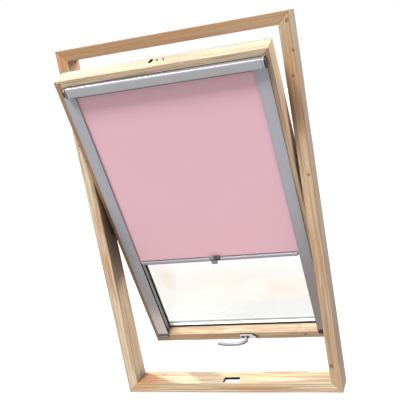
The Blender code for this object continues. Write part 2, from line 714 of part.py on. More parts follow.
def cam_outline():
    """Round hub with an arm that points right at rest and narrows to its tip."""
    hub = arc((0, 0), CAM_HUB, 35, 325, 16)
    tip = CAM_TIP / 2
    return hub + [(CAM_REACH - tip, -tip), (CAM_REACH, -tip / 2), (CAM_REACH, tip / 2), (CAM_REACH - tip, tip)]


def bezier(points, t):
    """Point of a cubic curve with four control points."""
    a, b, c, d = (Vector(point) for point in points)
    return a * (1 - t) ** 3 + b * 3 * t * (1 - t) ** 2 + c * 3 * t ** 2 * (1 - t) + d * t ** 3


def lever_bar():
    """Bar that leans out of the neck to its elbow and bows to the left, with a rounded tip."""
    steps = [i / LEVER_STEPS for i in range(LEVER_STEPS + 1)]
    root = Vector((0, (ROSE_BACK + NECK_START) / 2))
    root_lead = Vector((0, (NECK_START + NECK_LEAN_AT) / 2))
    neck = [bezier((root, root_lead, (NECK_LEAN, NECK_LEAN_AT), ELBOW), t) for t in steps[:-1:2]]
    bar = [bezier((ELBOW, LEVER_LEAD, LEVER_SWELL, LEVER_TIP), t) for t in steps]
    line = neck + bar
    curve = bpy.data.curves.new("lever", "CURVE")
    curve.dimensions = "3D"
    curve.bevel_depth = NECK_RADIUS
    curve.bevel_resolution = 2
    curve.use_fill_caps = True
    spline = curve.splines.new("POLY")
    spline.points.add(len(line))
    tip = line[-1] + (line[-1] - line[-2]).normalized() * NECK_RADIUS / 2
    for i, (point, place) in enumerate(zip(spline.points, line + [tip])):
        along = max(i - len(neck), 0) / LEVER_STEPS
        point.co = (place.x, -place.y, 0.0, 1.0)
        point.radius = 1 - LEVER_TAPER * min(along, 1)
    spline.points[-1].radius = LEVER_TAPER
    holder = bpy.data.objects.new("lever", curve)
    window.objects.link(holder)
    mesh = evaluated(holder)
    bpy.data.objects.remove(holder)
    return tidy(mesh)


def cassette_face():
    """Outer line of the cassette's section, from the back of its top to the back of its bottom."""
    front = -CASSETTE_PROUD
    r = CASSETTE_ROUND
    upper = arc((front + r, CASSETTE_TOP - r), r, 90, 180, 6)
    lower = arc((front + r, CASSETTE_BOTTOM + r), r, 180, 270, 6)
    return [(-FIT, CASSETTE_TOP)] + upper + lower


def build_cassette():
    face = cassette_face()
    path = [(-FIT, CASSETTE_TOP - CASSETTE_LIP)] + face + [(-CASSETTE_SLOT, CASSETTE_BOTTOM)]
    outline = [(depth(d), z) for d, z in sheet_outline(path, CASSETTE_SHEET)]
    left, right = CASSETTE_END["left"], CASSETTE_END["right"]
    housing = extruded("X", [outline], (left + right) / 2)
    housing.transform(Matrix.Translation(((right - left) / 2, 0, 0)))
    add("cassette_housing", housing, SILVER, sash, smooth=True)
    cap_outline = [(depth(d), z) for d, z in face + [(-FIT, CASSETTE_BOTTOM)]]
    looks = {"left": GREY_PLASTIC, "right": SILVER}
    for side, sign in SIDES.items():
        width = CASSETTE_CAP[side]
        inner = CASSETTE_END[side] + FIT
        mesh = extruded("X", [cap_outline], width / 2)
        mesh.transform(Matrix.Translation((sign * (inner + width / 2), 0, 0)))
        cap = add("cassette_cap_" + side, mesh, looks[side], sash, smooth=True)
        outward = "+X" if sign > 0 else "-X"
        socket_end = inner + PIN_IN_CAP + FIT
        socket = turned([(0, socket_end), (ROLLER_PIN + RUNNING_FIT, socket_end),
                         (ROLLER_PIN + RUNNING_FIT, 0), (0, 0)], outward, steps=16)
        cut(cap, cutter(socket, roller))
    foot = CASSETTE_END["left"] + CASSETTE_CAP["left"] + 2 * FIT
    head = foot + CATCH_LENGTH
    catch = turned([(0, head), (CATCH_RADIUS - SOFTENED_EDGE, head), (CATCH_RADIUS, head - SOFTENED_EDGE),
                    (CATCH_RADIUS, foot), (0, foot)], "-X", steps=16)
    catch.transform(Matrix.Translation((0, depth(-CASSETTE_PROUD / 2), CASSETTE_TOP - CATCH_DROP)))
    add("cassette_catch", catch, WHITE_PLASTIC, sash, smooth=True)


def build_roller():
    """Tube with its wound fabric, and a plug and a spring barrel whose pins run in the caps."""
    inner = TUBE_RADIUS - TUBE_WALL
    end = {side: CASSETTE_END[side] - TUBE_END_GAP for side in SIDES}
    tube = turned([(inner, end["right"]), (TUBE_RADIUS, end["right"]), (TUBE_RADIUS, -end["left"]),
                   (inner, -end["left"])], "+X", steps=24, closed=True)
    add("roller_tube", tube, SILVER, roller, (0, 0, 0), smooth=True)
    roll_half = GUIDE_INNER + FABRIC_LAP
    roll_inner = TUBE_RADIUS + FIT
    roll = turned([(roll_inner, roll_half), (ROLL_RADIUS, roll_half), (ROLL_RADIUS, -roll_half),
                   (roll_inner, -roll_half)], "+X", steps=24, closed=True)
    add("fabric_roll", roll, PINK_FABRIC, roller, (0, 0, 0), smooth=True)
    flange = inner - FIT
    pin = {side: CASSETTE_END[side] + FIT + PIN_IN_CAP for side in SIDES}
    plug = turned([(0, pin["left"]), (ROLLER_PIN, pin["left"]), (ROLLER_PIN, end["left"]),
                   (flange, end["left"]), (flange, end["left"] - PLUG_LENGTH),
                   (0, end["left"] - PLUG_LENGTH)], "-X", steps=20)
    add("roller_plug", plug, GREY_PLASTIC, roller, (0, 0, 0), smooth=True)
    barrel = turned([(0, pin["right"]), (ROLLER_PIN, pin["right"]), (ROLLER_PIN, end["right"]),
                     (flange, end["right"]), (flange, end["right"] - PLUG_LENGTH),
                     (SPRING_RADIUS, end["right"] - PLUG_LENGTH),
                     (SPRING_RADIUS, end["right"] - SPRING_BARREL),
                     (0, end["right"] - SPRING_BARREL)], "+X", steps=20)
    add("spring_barrel", barrel, GREY_PLASTIC, roller, (0, 0, 0), smooth=True)


def build_guides():
    front = -GUIDE_PROUD
    back = GUIDE_THICKNESS - GUIDE_PROUD
    groove_front = FABRIC_DEPTH - GROOVE_WIDTH / 2
    groove_back = FABRIC_DEPTH + GROOVE_WIDTH / 2
    middle = (GUIDE_TOP + GUIDE_BOTTOM) / 2
    for side, sign in SIDES.items():
        section = [
            (GUIDE_OUTER, front), (GUIDE_OUTER, back), (GUIDE_INNER, back), (GUIDE_INNER, groove_back),
            (GUIDE_INNER + GROOVE_DEPTH, groove_back), (GUIDE_INNER + GROOVE_DEPTH, groove_front),
            (GUIDE_INNER, groove_front), (GUIDE_INNER, front),
        ]
        mesh = extruded("Z", [[(sign * a, depth(d)) for a, d in section]], (GUIDE_TOP - GUIDE_BOTTOM) / 2)
        mesh.transform(Matrix.Translation((0, 0, middle)))
        soften(add("guide_" + side, mesh, SILVER, sash), SHARP_EDGE, 1)
        low_x, high_x = sorted((sign * (GUIDE_INNER + FIT), sign * (GUIDE_OUTER - FIT)))
        cap = box((low_x, depth(front), GUIDE_BOTTOM - FIT - GUIDE_CAP), (high_x, depth(back), GUIDE_BOTTOM - FIT))
        add("guide_end_cap_" + side, cap, GREY_PLASTIC, sash)


def build_fabric_and_bar():
    below_roll = math.sqrt(ROLL_RADIUS ** 2 - (ROLL_RADIUS - FABRIC_THICKNESS - FIT) ** 2)
    fabric_top = ROLLER_Z - below_roll - FIT
    half_width = GUIDE_INNER + FABRIC_LAP
    fabric = box((-half_width, depth(FABRIC_DEPTH - FABRIC_THICKNESS / 2), BAR_TOP + FIT),
                 (half_width, depth(FABRIC_DEPTH + FABRIC_THICKNESS / 2), fabric_top))
    add("blind_fabric", fabric, PINK_FABRIC, sash)

    bar_front = FABRIC_DEPTH + BAR_BEHIND - BAR_THICKNESS
    bar_back = FABRIC_DEPTH + BAR_BEHIND
    bar = box((-BAR_HALF, bar_front, -BAR_HEIGHT), (BAR_HALF, bar_back, 0))
    soften(add("bottom_bar", bar, LIGHT_PLASTIC, bar_slide, (0, 0, 0)), SOFTENED_EDGE, 2)
    for side, sign in SIDES.items():
        low_x, high_x = sorted((sign * (BAR_HALF + FIT), sign * (GUIDE_INNER + GLIDE_LAP)))
        glide = box((low_x, FABRIC_DEPTH - GLIDE_THICKNESS / 2, -BAR_HEIGHT + SHARP_EDGE),
                    (high_x, FABRIC_DEPTH + GLIDE_THICKNESS / 2, -SHARP_EDGE))
        soften(add("bar_glide_" + side, glide, LIGHT_PLASTIC, bar_slide), SHARP_EDGE, 1)
    grip_back = bar_front - FIT
    block = box((-GRIP_LEFT, grip_back - GRIP_PROUD, -GRIP_BELOW), (GRIP_RIGHT, grip_back, GRIP_ABOVE))
    grip = add("bar_grip", block, GREY_PLASTIC, bar_slide, (0, 0, 0))
    soften(grip, SHARP_EDGE, 2)
    tongue = box((-TONGUE_LEFT, grip_back - TONGUE_THICKNESS, -TONGUE_BELOW), (TONGUE_RIGHT, grip_back, 0))
    cut(grip, cutter(tongue, bar_slide), "UNION")


def build():
    boards = build_frame()
    build_keep(boards)
    stiles, rails = build_sash_wood()
    build_hinges(boards, stiles)
    build_glazing()
    build_covers()
    build_handle(rails["sash_bottom_rail"])
    build_cassette()
    build_roller()
    build_guides()
    build_fabric_and_bar()


build()
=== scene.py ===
"""Visual model of a half-open pine roof window with a cassette roller blind on its sash.

What tilts with the sash is described in the sash's own space: x to the right, depth behind the
sash's room face, and rise up the sash from the pivot axis. on_sash() takes such points into the
frame of the CAD model. The outer frame stands upright in that frame as it is. Lengths are metres.
"""

import math

import bmesh
import bpy
import numpy as np
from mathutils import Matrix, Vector


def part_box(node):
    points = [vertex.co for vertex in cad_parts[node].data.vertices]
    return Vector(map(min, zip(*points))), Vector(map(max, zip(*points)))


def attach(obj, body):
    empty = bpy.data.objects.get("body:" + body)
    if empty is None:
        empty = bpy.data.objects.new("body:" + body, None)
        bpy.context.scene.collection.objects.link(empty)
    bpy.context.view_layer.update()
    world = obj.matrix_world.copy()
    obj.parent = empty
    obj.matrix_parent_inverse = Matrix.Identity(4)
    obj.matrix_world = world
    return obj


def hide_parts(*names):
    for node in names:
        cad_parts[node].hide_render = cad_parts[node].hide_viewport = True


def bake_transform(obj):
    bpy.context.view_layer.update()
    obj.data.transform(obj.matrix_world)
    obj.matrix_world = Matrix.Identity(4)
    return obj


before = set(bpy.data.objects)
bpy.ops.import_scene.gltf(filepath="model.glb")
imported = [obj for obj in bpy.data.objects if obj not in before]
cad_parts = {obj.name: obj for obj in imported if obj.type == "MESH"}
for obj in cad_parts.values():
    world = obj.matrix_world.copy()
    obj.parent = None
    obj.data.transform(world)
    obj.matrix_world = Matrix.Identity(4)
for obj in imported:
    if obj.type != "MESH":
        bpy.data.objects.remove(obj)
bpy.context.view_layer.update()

# Pairs are a lower and an upper end, or a half width and a half rise.
X, DEPTH, RISE = 0, 1, 2
SIDES = (("left", -1), ("right", 1))
CLEARANCE = 0.0003
HAIR = 0.0001
END_GAP = 0.0005
CAP_ROUND = 0.0012
MERGED_WITHIN = 1e-6
POLE_RADIUS = 1e-7

# Sash space
OPEN_ANGLE = math.radians(18.42)
PIVOT_Y = 0.0136
PIVOT_Z = 0.5956
FACE_TO_PIVOT = 0.01

# Fittings
PLATE_EDGE = 0.0003
ROSE_EDGE = 0.0004
KEEP_WALL = 0.0011
KEEP_BUFFER = (0.0036, 0.002)
BUFFER_SLANT = 0.002
BUFFER_LOW = 0.0004
BUFFER_ROUND = 0.0004

# Glazing and covers
GLASS_OPENING = (0.283, 0.4885)
TAPE_SHOWN = 0.0055
GASKET_WIDTH = 0.005
GASKET_DEPTHS = (0.0272, 0.0318)
GASKET_LIP = (0.0022, 0.0016, 0.0005)
GLASS_BACK = 0.0547
COVER_TAPE_INSET = 0.0004
COVER_TAPE_WIDTH = 0.0075
COVER_BACK = 0.069
RIVET_LINES = (0.3055, 0.509)
RIVET_RISES = (-0.38, -0.13, 0.13, 0.38)
RIVET_PLACES = (-0.2, 0.0, 0.2)
RIVET = ((0.0, 0.0017), (0.0014, 0.0016), (0.0028, 0.0011), (0.0037, 0.0004), (0.004, 0.0), (0.0, 0.0))
TRIM_FRONT = 0.015

# Cassette
CASSETTE = {"top": 0.508, "bottom": 0.479, "proud": 0.02, "round": 0.005, "sheet": 0.0014}
HOUSING_ENDS = (-0.2873, 0.3045)
CAP_WIDTH = {"left": 0.0077, "right": 0.0114}
COLLAR_WIDTH = 0.0058
BEAD_RISES = (0.4855, 0.5022)
BEAD_RADIUS = 0.00028
WIPE_DEPTHS = (-0.0185, -0.0095)
CURL_DEPTH = -0.0079
CURL_RADIUS = 0.0009
KNOB_PLACE = (-0.01, 0.5015)
KNOB = ((0.0, 0.0058), (0.0018, 0.0057), (0.0034, 0.0052), (0.0043, 0.004), (0.0041, 0.003),
        (0.0036, 0.0023), (0.004, 0.0015), (0.0048, 0.0011), (0.0048, 0.0), (0.0, 0.0))

# Guides
GUIDE_INNER = 0.275
GUIDE_OUTER = 0.312
GUIDE_DEPTHS = (-0.004, 0.0077)
GUIDE_RISE = (-0.4945, 0.477)
LINE_INSET = 0.0045
LINE_HALF = 0.0005
GROOVE_DEPTHS = (-0.0005, 0.0065)
GROOVE_REACH = 0.011
BRUSH = (0.0012, 0.004, 0.0003)
END_CAP_HEIGHT = 0.0035
PLUG_OVERLAP = 0.0045
FOOT_HEIGHT = 0.011

# Cloth and roller
ROLLER = (-0.0068, 0.4935)
TUBE_RADIUS = 0.0078
ROLL_TURNS = 6
ROLL_PITCH = 0.00023
ROLL_GAP = 0.00006
CLOTH = 0.00018
THREAD = 0.00052
CLOTH_DEPTH = 0.003
CLOTH_HALF_WIDTH = 0.2822
CLOTH_TOP = 0.4898
CLOTH_IN_BAR = 0.002
RIPPLE = 0.00022

# Bar, grip and handle
BAR_TOP = -0.1575
BAR_HALF = 0.27
BAR_HEIGHT = 0.012
BAR_DEPTHS = (-0.0025, 0.0085)
BAR_SLOT = (0.0007, 0.0028)
BAR_STEP = (0.0012, 0.0016, 0.0022)
BAR_RADII = (0.0022, 0.0022, 0.001, 0.0004, 0.0002, 0.0002, 0.0004, 0.0003, 0.0003, 0.0006)
GLIDE_REACH = 0.0105
GLIDE_HALF_DEPTH = 0.003
GRIP_X = (-0.022, 0.013)
GRIP_SPLIT = -0.006
GRIP_RISE = (-0.007, 0.0092)
GRIP_DEPTHS = (-0.0088, -0.0028)
GRIP_ROUND = 0.0016
RIB_HEIGHT = 0.00055
RIB_PITCH = 0.0026
TONGUE_X = (-0.0208, 0.001)
TONGUE_DROP = 0.0235
TONGUE_DEPTH = -0.0058
HUB_X = 0.0165
HUB_RISE = -0.513
SPINDLE_HALF = 0.0025
SPINDLE_DEPTHS = (-0.0075, 0.0138)
NECK_RADIUS = 0.0054
NECK_CURVE = ((0.0, 0.0041), (0.0, 0.0159), (0.0079, 0.0218), (0.0045, 0.027))
LEVER_CURVE = ((0.0045, 0.027), (-0.004, 0.04), (-0.042, 0.0475), (-0.094, 0.0365))
LEVER_TIP = 0.0028

# Stage
FLOOR_RADIUS = 9.0
FLOOR_DROP = 0.0005
DOME_RADIUS = 8.9


# Materials

def srgb(code):
    """Linear colour of a six-digit sRGB code."""
    parts = [int(code[i:i + 2], 16) / 255 for i in (0, 2, 4)]
    return (*[p / 12.92 if p <= 0.04045 else ((p + 0.055) / 1.055) ** 2.4 for p in parts], 1.0)


def maths(operation, swapped=False):
    """Method that adds a maths node on a field and other values, the field last when swapped."""
    if swapped:
        return lambda self, other: self.combined(operation, other, self)
    return lambda self, *others: self.combined(operation, self, *others)


class Field:
    """A value that varies over a surface. Arithmetic on it adds maths nodes to its material."""

    def __init__(self, look, socket):
        self.look = look
        self.socket = socket

    def combined(self, operation, *values):
        """Maths node on the values, for vectors if one of them is a place."""
        vector = any(isinstance(v, Field) and v.socket.type == "VECTOR" for v in values)
        kind = "ShaderNodeVectorMath" if vector else "ShaderNodeMath"
        return self.look.node(kind, {"operation": operation}, dict(enumerate(values)))

    __add__, __radd__ = maths("ADD"), maths("ADD", True)
    __sub__, __rsub__ = maths("SUBTRACT"), maths("SUBTRACT", True)
    __mul__, __rmul__ = maths("MULTIPLY"), maths("MULTIPLY", True)
    __truediv__, __pow__ = maths("DIVIDE"), maths("POWER")
    sine, fraction, exponential = maths("SINE"), maths("FRACT"), maths("EXPONENT")
    larger, length = maths("MAXIMUM"), maths("LENGTH")

    def bell(self, power=2):
        """1 at zero, falling away to both sides; a higher power gives a flatter top and steeper flanks."""
        return (self ** power * -1.0).exponential()

    def between(self, low, high):
        """Smooth rise from 0 at low to 1 at high."""
        ends = {"Value": self, "From Min": low, "From Max": high}
        return self.look.node("ShaderNodeMapRange", {"interpolation_type": "SMOOTHSTEP"}, ends)

    def parts(self):
        """The three coordinates of a place."""
        made = self.look.node("ShaderNodeSeparateXYZ", {}, {0: self}).socket.node
        return [Field(self.look, socket) for socket in made.outputs]


class Look:
    """A procedural material about a Principled shader, whose constant values are set on its sockets."""

    def __init__(self, name, **constants):
        self.material = bpy.data.materials.new(name)
        self.material.use_nodes = True
        self.tree = self.material.node_tree
        self.shader = self.tree.nodes["Principled BSDF"]
        for socket, value in constants.items():
            label = socket.replace("_", " ").title().replace("Ior", "IOR")
            self.shader.inputs[label].default_value = value

    def node(self, kind, settings, sockets):
        """Adds a node, sets its settings, and fills its sockets with fields or constants."""
        made = self.tree.nodes.new(kind)
        for key, value in settings.items():
            setattr(made, key, value)
        free = [socket for socket in made.inputs if socket.enabled]
        for key, value in sockets.items():
            socket = free[key] if isinstance(key, int) else next(s for s in free if s.name == key)
            if isinstance(value, Field):
                self.tree.links.new(value.socket, socket)
            elif socket.type == "VECTOR" and not hasattr(value, "__len__"):
                socket.default_value = (value,) * 3
            else:
                socket.default_value = value
        return Field(self, next(socket for socket in made.outputs if socket.enabled))

    def place(self, tilted=True):
        """Object coordinates, turned into the sash's space where the piece tilts with it."""
        here = self.node("ShaderNodeTexCoord", {}, {})
        here = Field(self, here.socket.node.outputs["Object"])
        if not tilted:
            return here
        turn = {"Vector": here, "Location": (0.0, PIVOT_Y, PIVOT_Z), "Rotation": (OPEN_ANGLE, 0.0, 0.0)}
        return self.node("ShaderNodeMapping", {"vector_type": "TEXTURE"}, turn)

    def joined(self, *parts):
        """Place with the given coordinates."""
        return self.node("ShaderNodeCombineXYZ", {}, dict(enumerate(parts)))

    def apart(self, values, middle, sizes):
        """Distance of the values from a middle, each counted in its own half size."""
        return self.joined(*[(v - at) / size for v, at, size in zip(values, middle, sizes)]).length()

    def noise(self, place, scale=1.0, detail=2.0, roughness=0.5):
        sockets = {"Vector": place, "Scale": scale, "Detail": detail, "Roughness": roughness}
        return self.node("ShaderNodeTexNoise", {}, sockets)

    def mixed(self, factor, first, second):
        """Colour that goes from the first to the second as the factor goes from 0 to 1."""
        return self.node("ShaderNodeMix", {"data_type": "RGBA"}, {0: factor, 1: first, 2: second})

    def connect(self, base, roughness, height, strength, distance):
        """Links the varying fields to the shader; height becomes a bump."""
        sockets = {"Height": height, "Strength": strength, "Distance": distance}
        bump = self.node("ShaderNodeBump", {}, sockets)
        for socket, field in (("Base Color", base), ("Roughness", roughness), ("Normal", bump)):
            self.tree.links.new(field.socket, self.shader.inputs[socket])
        return self.material


def pine(node, along, pith, knots=(), stains=(), bores=(), tone=0.0, shades=()):
    """Knotty pine. Rings lie about a pith line along the board and bend round each knot.

    along orders the axes as length, face width and depth. A knot or stain is (length, width, size).
    A bore runs in across the width, with painted shade on its wall: (length, depth, half width, half length,
    turn).
    tone is the share of an even mid brown. A shade is a darker place, often painted shade: its middle and
    half sizes, both as (length, width, depth), and its strength.
    """
    look = Look("pine_" + node.split("_", 1)[1], coat_weight=0.1, coat_roughness=0.32)
    axes = look.place(node.startswith("sash")).parts()
    length, width, deep = (axes[i] for i in along)

    def drawn(lengthways, across, detail, roughness=0.5, shift=0.0):
        """Noise drawn out along the board, with its scale along and across the board."""
        place = look.joined(length * lengthways, width * across, deep * across)
        return look.noise(place + shift if shift else place, 1.0, detail, roughness)

    sway = drawn(2.2, 5, 1.0) - 0.5
    drift = drawn(2.2, 5, 1.0, shift=7.3) - 0.5
    radius = look.joined(width - pith[0] + sway * 0.03, deep - pith[1] + drift * 0.024).length()
    spots = rims = None
    for at, across, size in knots:
        ragged = look.noise(look.joined(length, width, deep * 0.2), 160.0, 1.0) - 0.5
        reach = look.apart((length, width), (at, across), (size / 0.78, size)) + ragged * 0.35
        radius = radius + (reach * reach * -0.14).exponential() * (size * 1.9)
        spot = 1.0 - reach.between(0.72, 1.05)
        rim = ((reach - 0.98) * 5.5).bell()
        heart = ((reach * 9.0).sine() * 0.1 + spot * 0.78) * spot
        spots = heart if spots is None else spots.larger(heart)
        rims = rim if rims is None else rims.larger(rim)
    ring = (radius * RINGS_TO_THE_METRE + drawn(9, 60, 3.0) * 0.95).fraction()
    late = ring.between(0.25, 0.92) * (1.0 - ring.between(0.93, 1.0)) * (0.1 + drawn(1.4, 18, 2.0) * 0.95)
    fibre = drawn(24, 620, 3.0, 0.6)
    flame = drawn(5, 34, 2.0).between(0.52, 0.8)
    streak = drawn(3.5, 150, 3.0, 0.65)
    mottle = drawn(4, 9, 2.0, shift=3.1)
    base = PINE["early"]
    for share, color in ((late, "late"), (flame * 0.34, "flame"),
                         (streak.between(0.42, 0.62) * 0.66, "streak"),
                         (streak.between(0.6, 0.76) * 0.4, "dark_streak"),
                         (mottle.between(0.45, 0.75) * 0.35, "mottle"),
                         (fibre.between(0.35, 0.85) * 0.3, "fibre")):
        base = look.mixed(share, base, PINE[color])
    for at, across, size in stains:
        near = look.apart((length, width), (at, across), (size / 0.4, size)).bell()
        base = look.mixed(near * (0.1 + streak * 0.55), base, PINE["stain"])
    if knots:
        base = look.mixed(rims * 0.55, base, PINE["knot_rim"])
        base = look.mixed(spots, base, PINE["knot"])
    # Painted shade inside each bore: its wall goes almost black.
    for at, back, half_width, half_length, turn in bores:
        c, s = math.cos(turn), math.sin(turn)
        run, side = length - at, deep - back
        off = look.joined((run * c + side * s) / half_width, (side * c - run * s) / half_length)
        inside = 1.0 - off.length().between(1.02, 1.12)
        base = look.mixed(inside * (1.0 - width.between(*BORE_MOUTH)), base, PINE["bore"])
    if tone:
        base = look.mixed(tone, base, PINE["tone"])
    # Shades, often painted shade: each one mixes towards a dark brown.
    for middle, sizes, strength in shades:
        near = look.apart((length, width, deep), middle, sizes).bell(4)
        base = look.mixed(near * strength, base, PINE["shade"])
    return look.connect(base, 0.5 + fibre * 0.16 - late * 0.1, late * 0.5 + fibre * 0.5, 0.35, 0.0004)


def brushed(name, color, metallic, roughness, along=X, tilted=True, streak=0.1, painted_light_bands=()):
    """Metal with fine drawn lines along one axis, and a slow cloudiness.

    The bands list painted light and shade as (start, end, colour): the metal goes over to the colour between
    the two rises.
    """
    look = Look(name, metallic=metallic)
    axes = look.place(tilted).parts()
    fine = look.joined(*[axis * (14.0 if i == along else 2600.0) for i, axis in enumerate(axes)])
    lines = look.noise(fine)
    cloud = look.noise(look.place(tilted), 22.0)
    darker = tuple(c * (1.0 - 2.2 * streak) for c in color[:3]) + (1.0,)
    base = look.mixed(lines * 0.6 + cloud * 0.4, color, darker)
    # Painted light and shade: bands of lighter or darker colour along the rise.
    for start, end, shade in painted_light_bands:
        base = look.mixed(axes[RISE].between(start, end), base, shade)
    return look.connect(base, roughness - 0.05 + lines * 0.1 + cloud * 0.05, lines, 0.1, 0.00005)


def grained(name, color, roughness, scale=900.0, relief=0.00008, **constants):
    """Moulded or coated surface: a pebbled grain, with slightly uneven colour and gloss."""
    look = Look(name, **constants)
    here = look.place()
    grain = look.noise(here, scale)
    cloud = look.noise(here, 30.0)
    darker = tuple(c * 0.8 for c in color[:3]) + (1.0,)
    base = look.mixed(cloud * 0.55 + grain * 0.25, color, darker)
    return look.connect(base, roughness - 0.06 + grain * 0.12 + cloud * 0.05, grain, 0.25, relief)


def plated_with_painted_shade(name, axis, breaks, inner, outer, tilted):
    """Plated metal with painted shade inside a recess: between the two breaks along an axis."""
    look = Look(name, metallic=0.3)
    at = look.place(tilted).parts()[axis]
    low, high = breaks
    # Painted shade: the colour goes over to the inner one between the breaks.
    deep = at.between(low - 0.0002, low + 0.0002) * (1.0 - at.between(high - 0.0002, high + 0.0002))
    cloud = look.noise(look.place(tilted), 60.0)
    base = look.mixed(cloud * 0.4, outer, tuple(c * 0.85 for c in outer[:3]) + (1.0,))
    return look.connect(look.mixed(deep, base, inner), 0.34 + cloud * 0.12, cloud, 0.1, 0.0001)


def woven(name):
    """Plain-weave blackout cloth: warp and weft threads pass over each other by turns."""
    look = Look(name, sheen_weight=0.25, sheen_roughness=0.5, specular_ior_level=0.25)
    x, _, rise = look.place().parts()
    wave = 2 * math.pi / THREAD
    over = (x * wave).sine() * (rise * wave).sine()
    slub = look.noise(look.joined(x * 8, 0.0, rise * 900))
    warp = look.noise(look.joined(x * 900, 0.0, rise * 8))
    cloud = look.noise(look.joined(x * 3, 0.0, rise * 3))
    base = look.mixed(slub * 0.5 + warp * 0.5, srgb("DBB4BD"), srgb("CCA0AB"))
    base = look.mixed(cloud * 0.3, base, srgb("C1919D"))
    base = look.mixed(over.between(-1.0, 1.0) * 0.12, base, srgb("B2808C"))
    return look.connect(base, 0.8 + slub * 0.12, over * 0.5 + slub * 0.5, 0.3, 0.00008)


def clear_glass(name):
    """Pane that lets light straight through, mirrors more at a slant, and has painted reflections: faint
    tinted spots.
    """
    look = Look(name)
    tree = look.tree
    tree.nodes.remove(look.shader)
    clear = look.node("ShaderNodeBsdfTransparent", {}, {"Color": (0.934, 0.936, 0.934, 1.0)})
    reflection_tint = look.node("ShaderNodeBsdfTransparent", {}, {"Color": (0.919, 0.9, 0.876, 1.0)})
    mirror = look.node("ShaderNodeBsdfGlossy", {}, {"Color": (0.95, 0.96, 0.96, 1.0), "Roughness": 0.08})
    weight = look.node("ShaderNodeLayerWeight", {}, {"Blend": 0.5})
    slant = Field(look, weight.socket.node.outputs["Facing"])
    smear = look.noise(look.place(), 6.0)
    share = slant ** 5 * 0.9 + 0.03 + smear * 0.012
    x, _, rise = look.place().parts()
    # Painted reflections: spots where the pane lets light through in a darker, yellower tint.
    reflection_patches = look.noise(look.place() * (1.8, 1.8, 4.5) + (0.4, 0.0, 0.9)).between(0.4, 0.66) * 0.2
    for middle, sizes, strength in PAINTED_REFLECTIONS:
        reflection_patches = reflection_patches.larger(look.apart((x, rise), middle, sizes).bell() * strength)
    pane = look.node("ShaderNodeMixShader", {}, {0: reflection_patches, 1: clear, 2: reflection_tint})
    pane = look.node("ShaderNodeMixShader", {}, {0: share, 1: pane, 2: mirror})
    tree.links.new(pane.socket, tree.nodes["Material Output"].inputs["Surface"])
    return look.material


# Marks of each board, with painted shade, and painted reflections on the glass

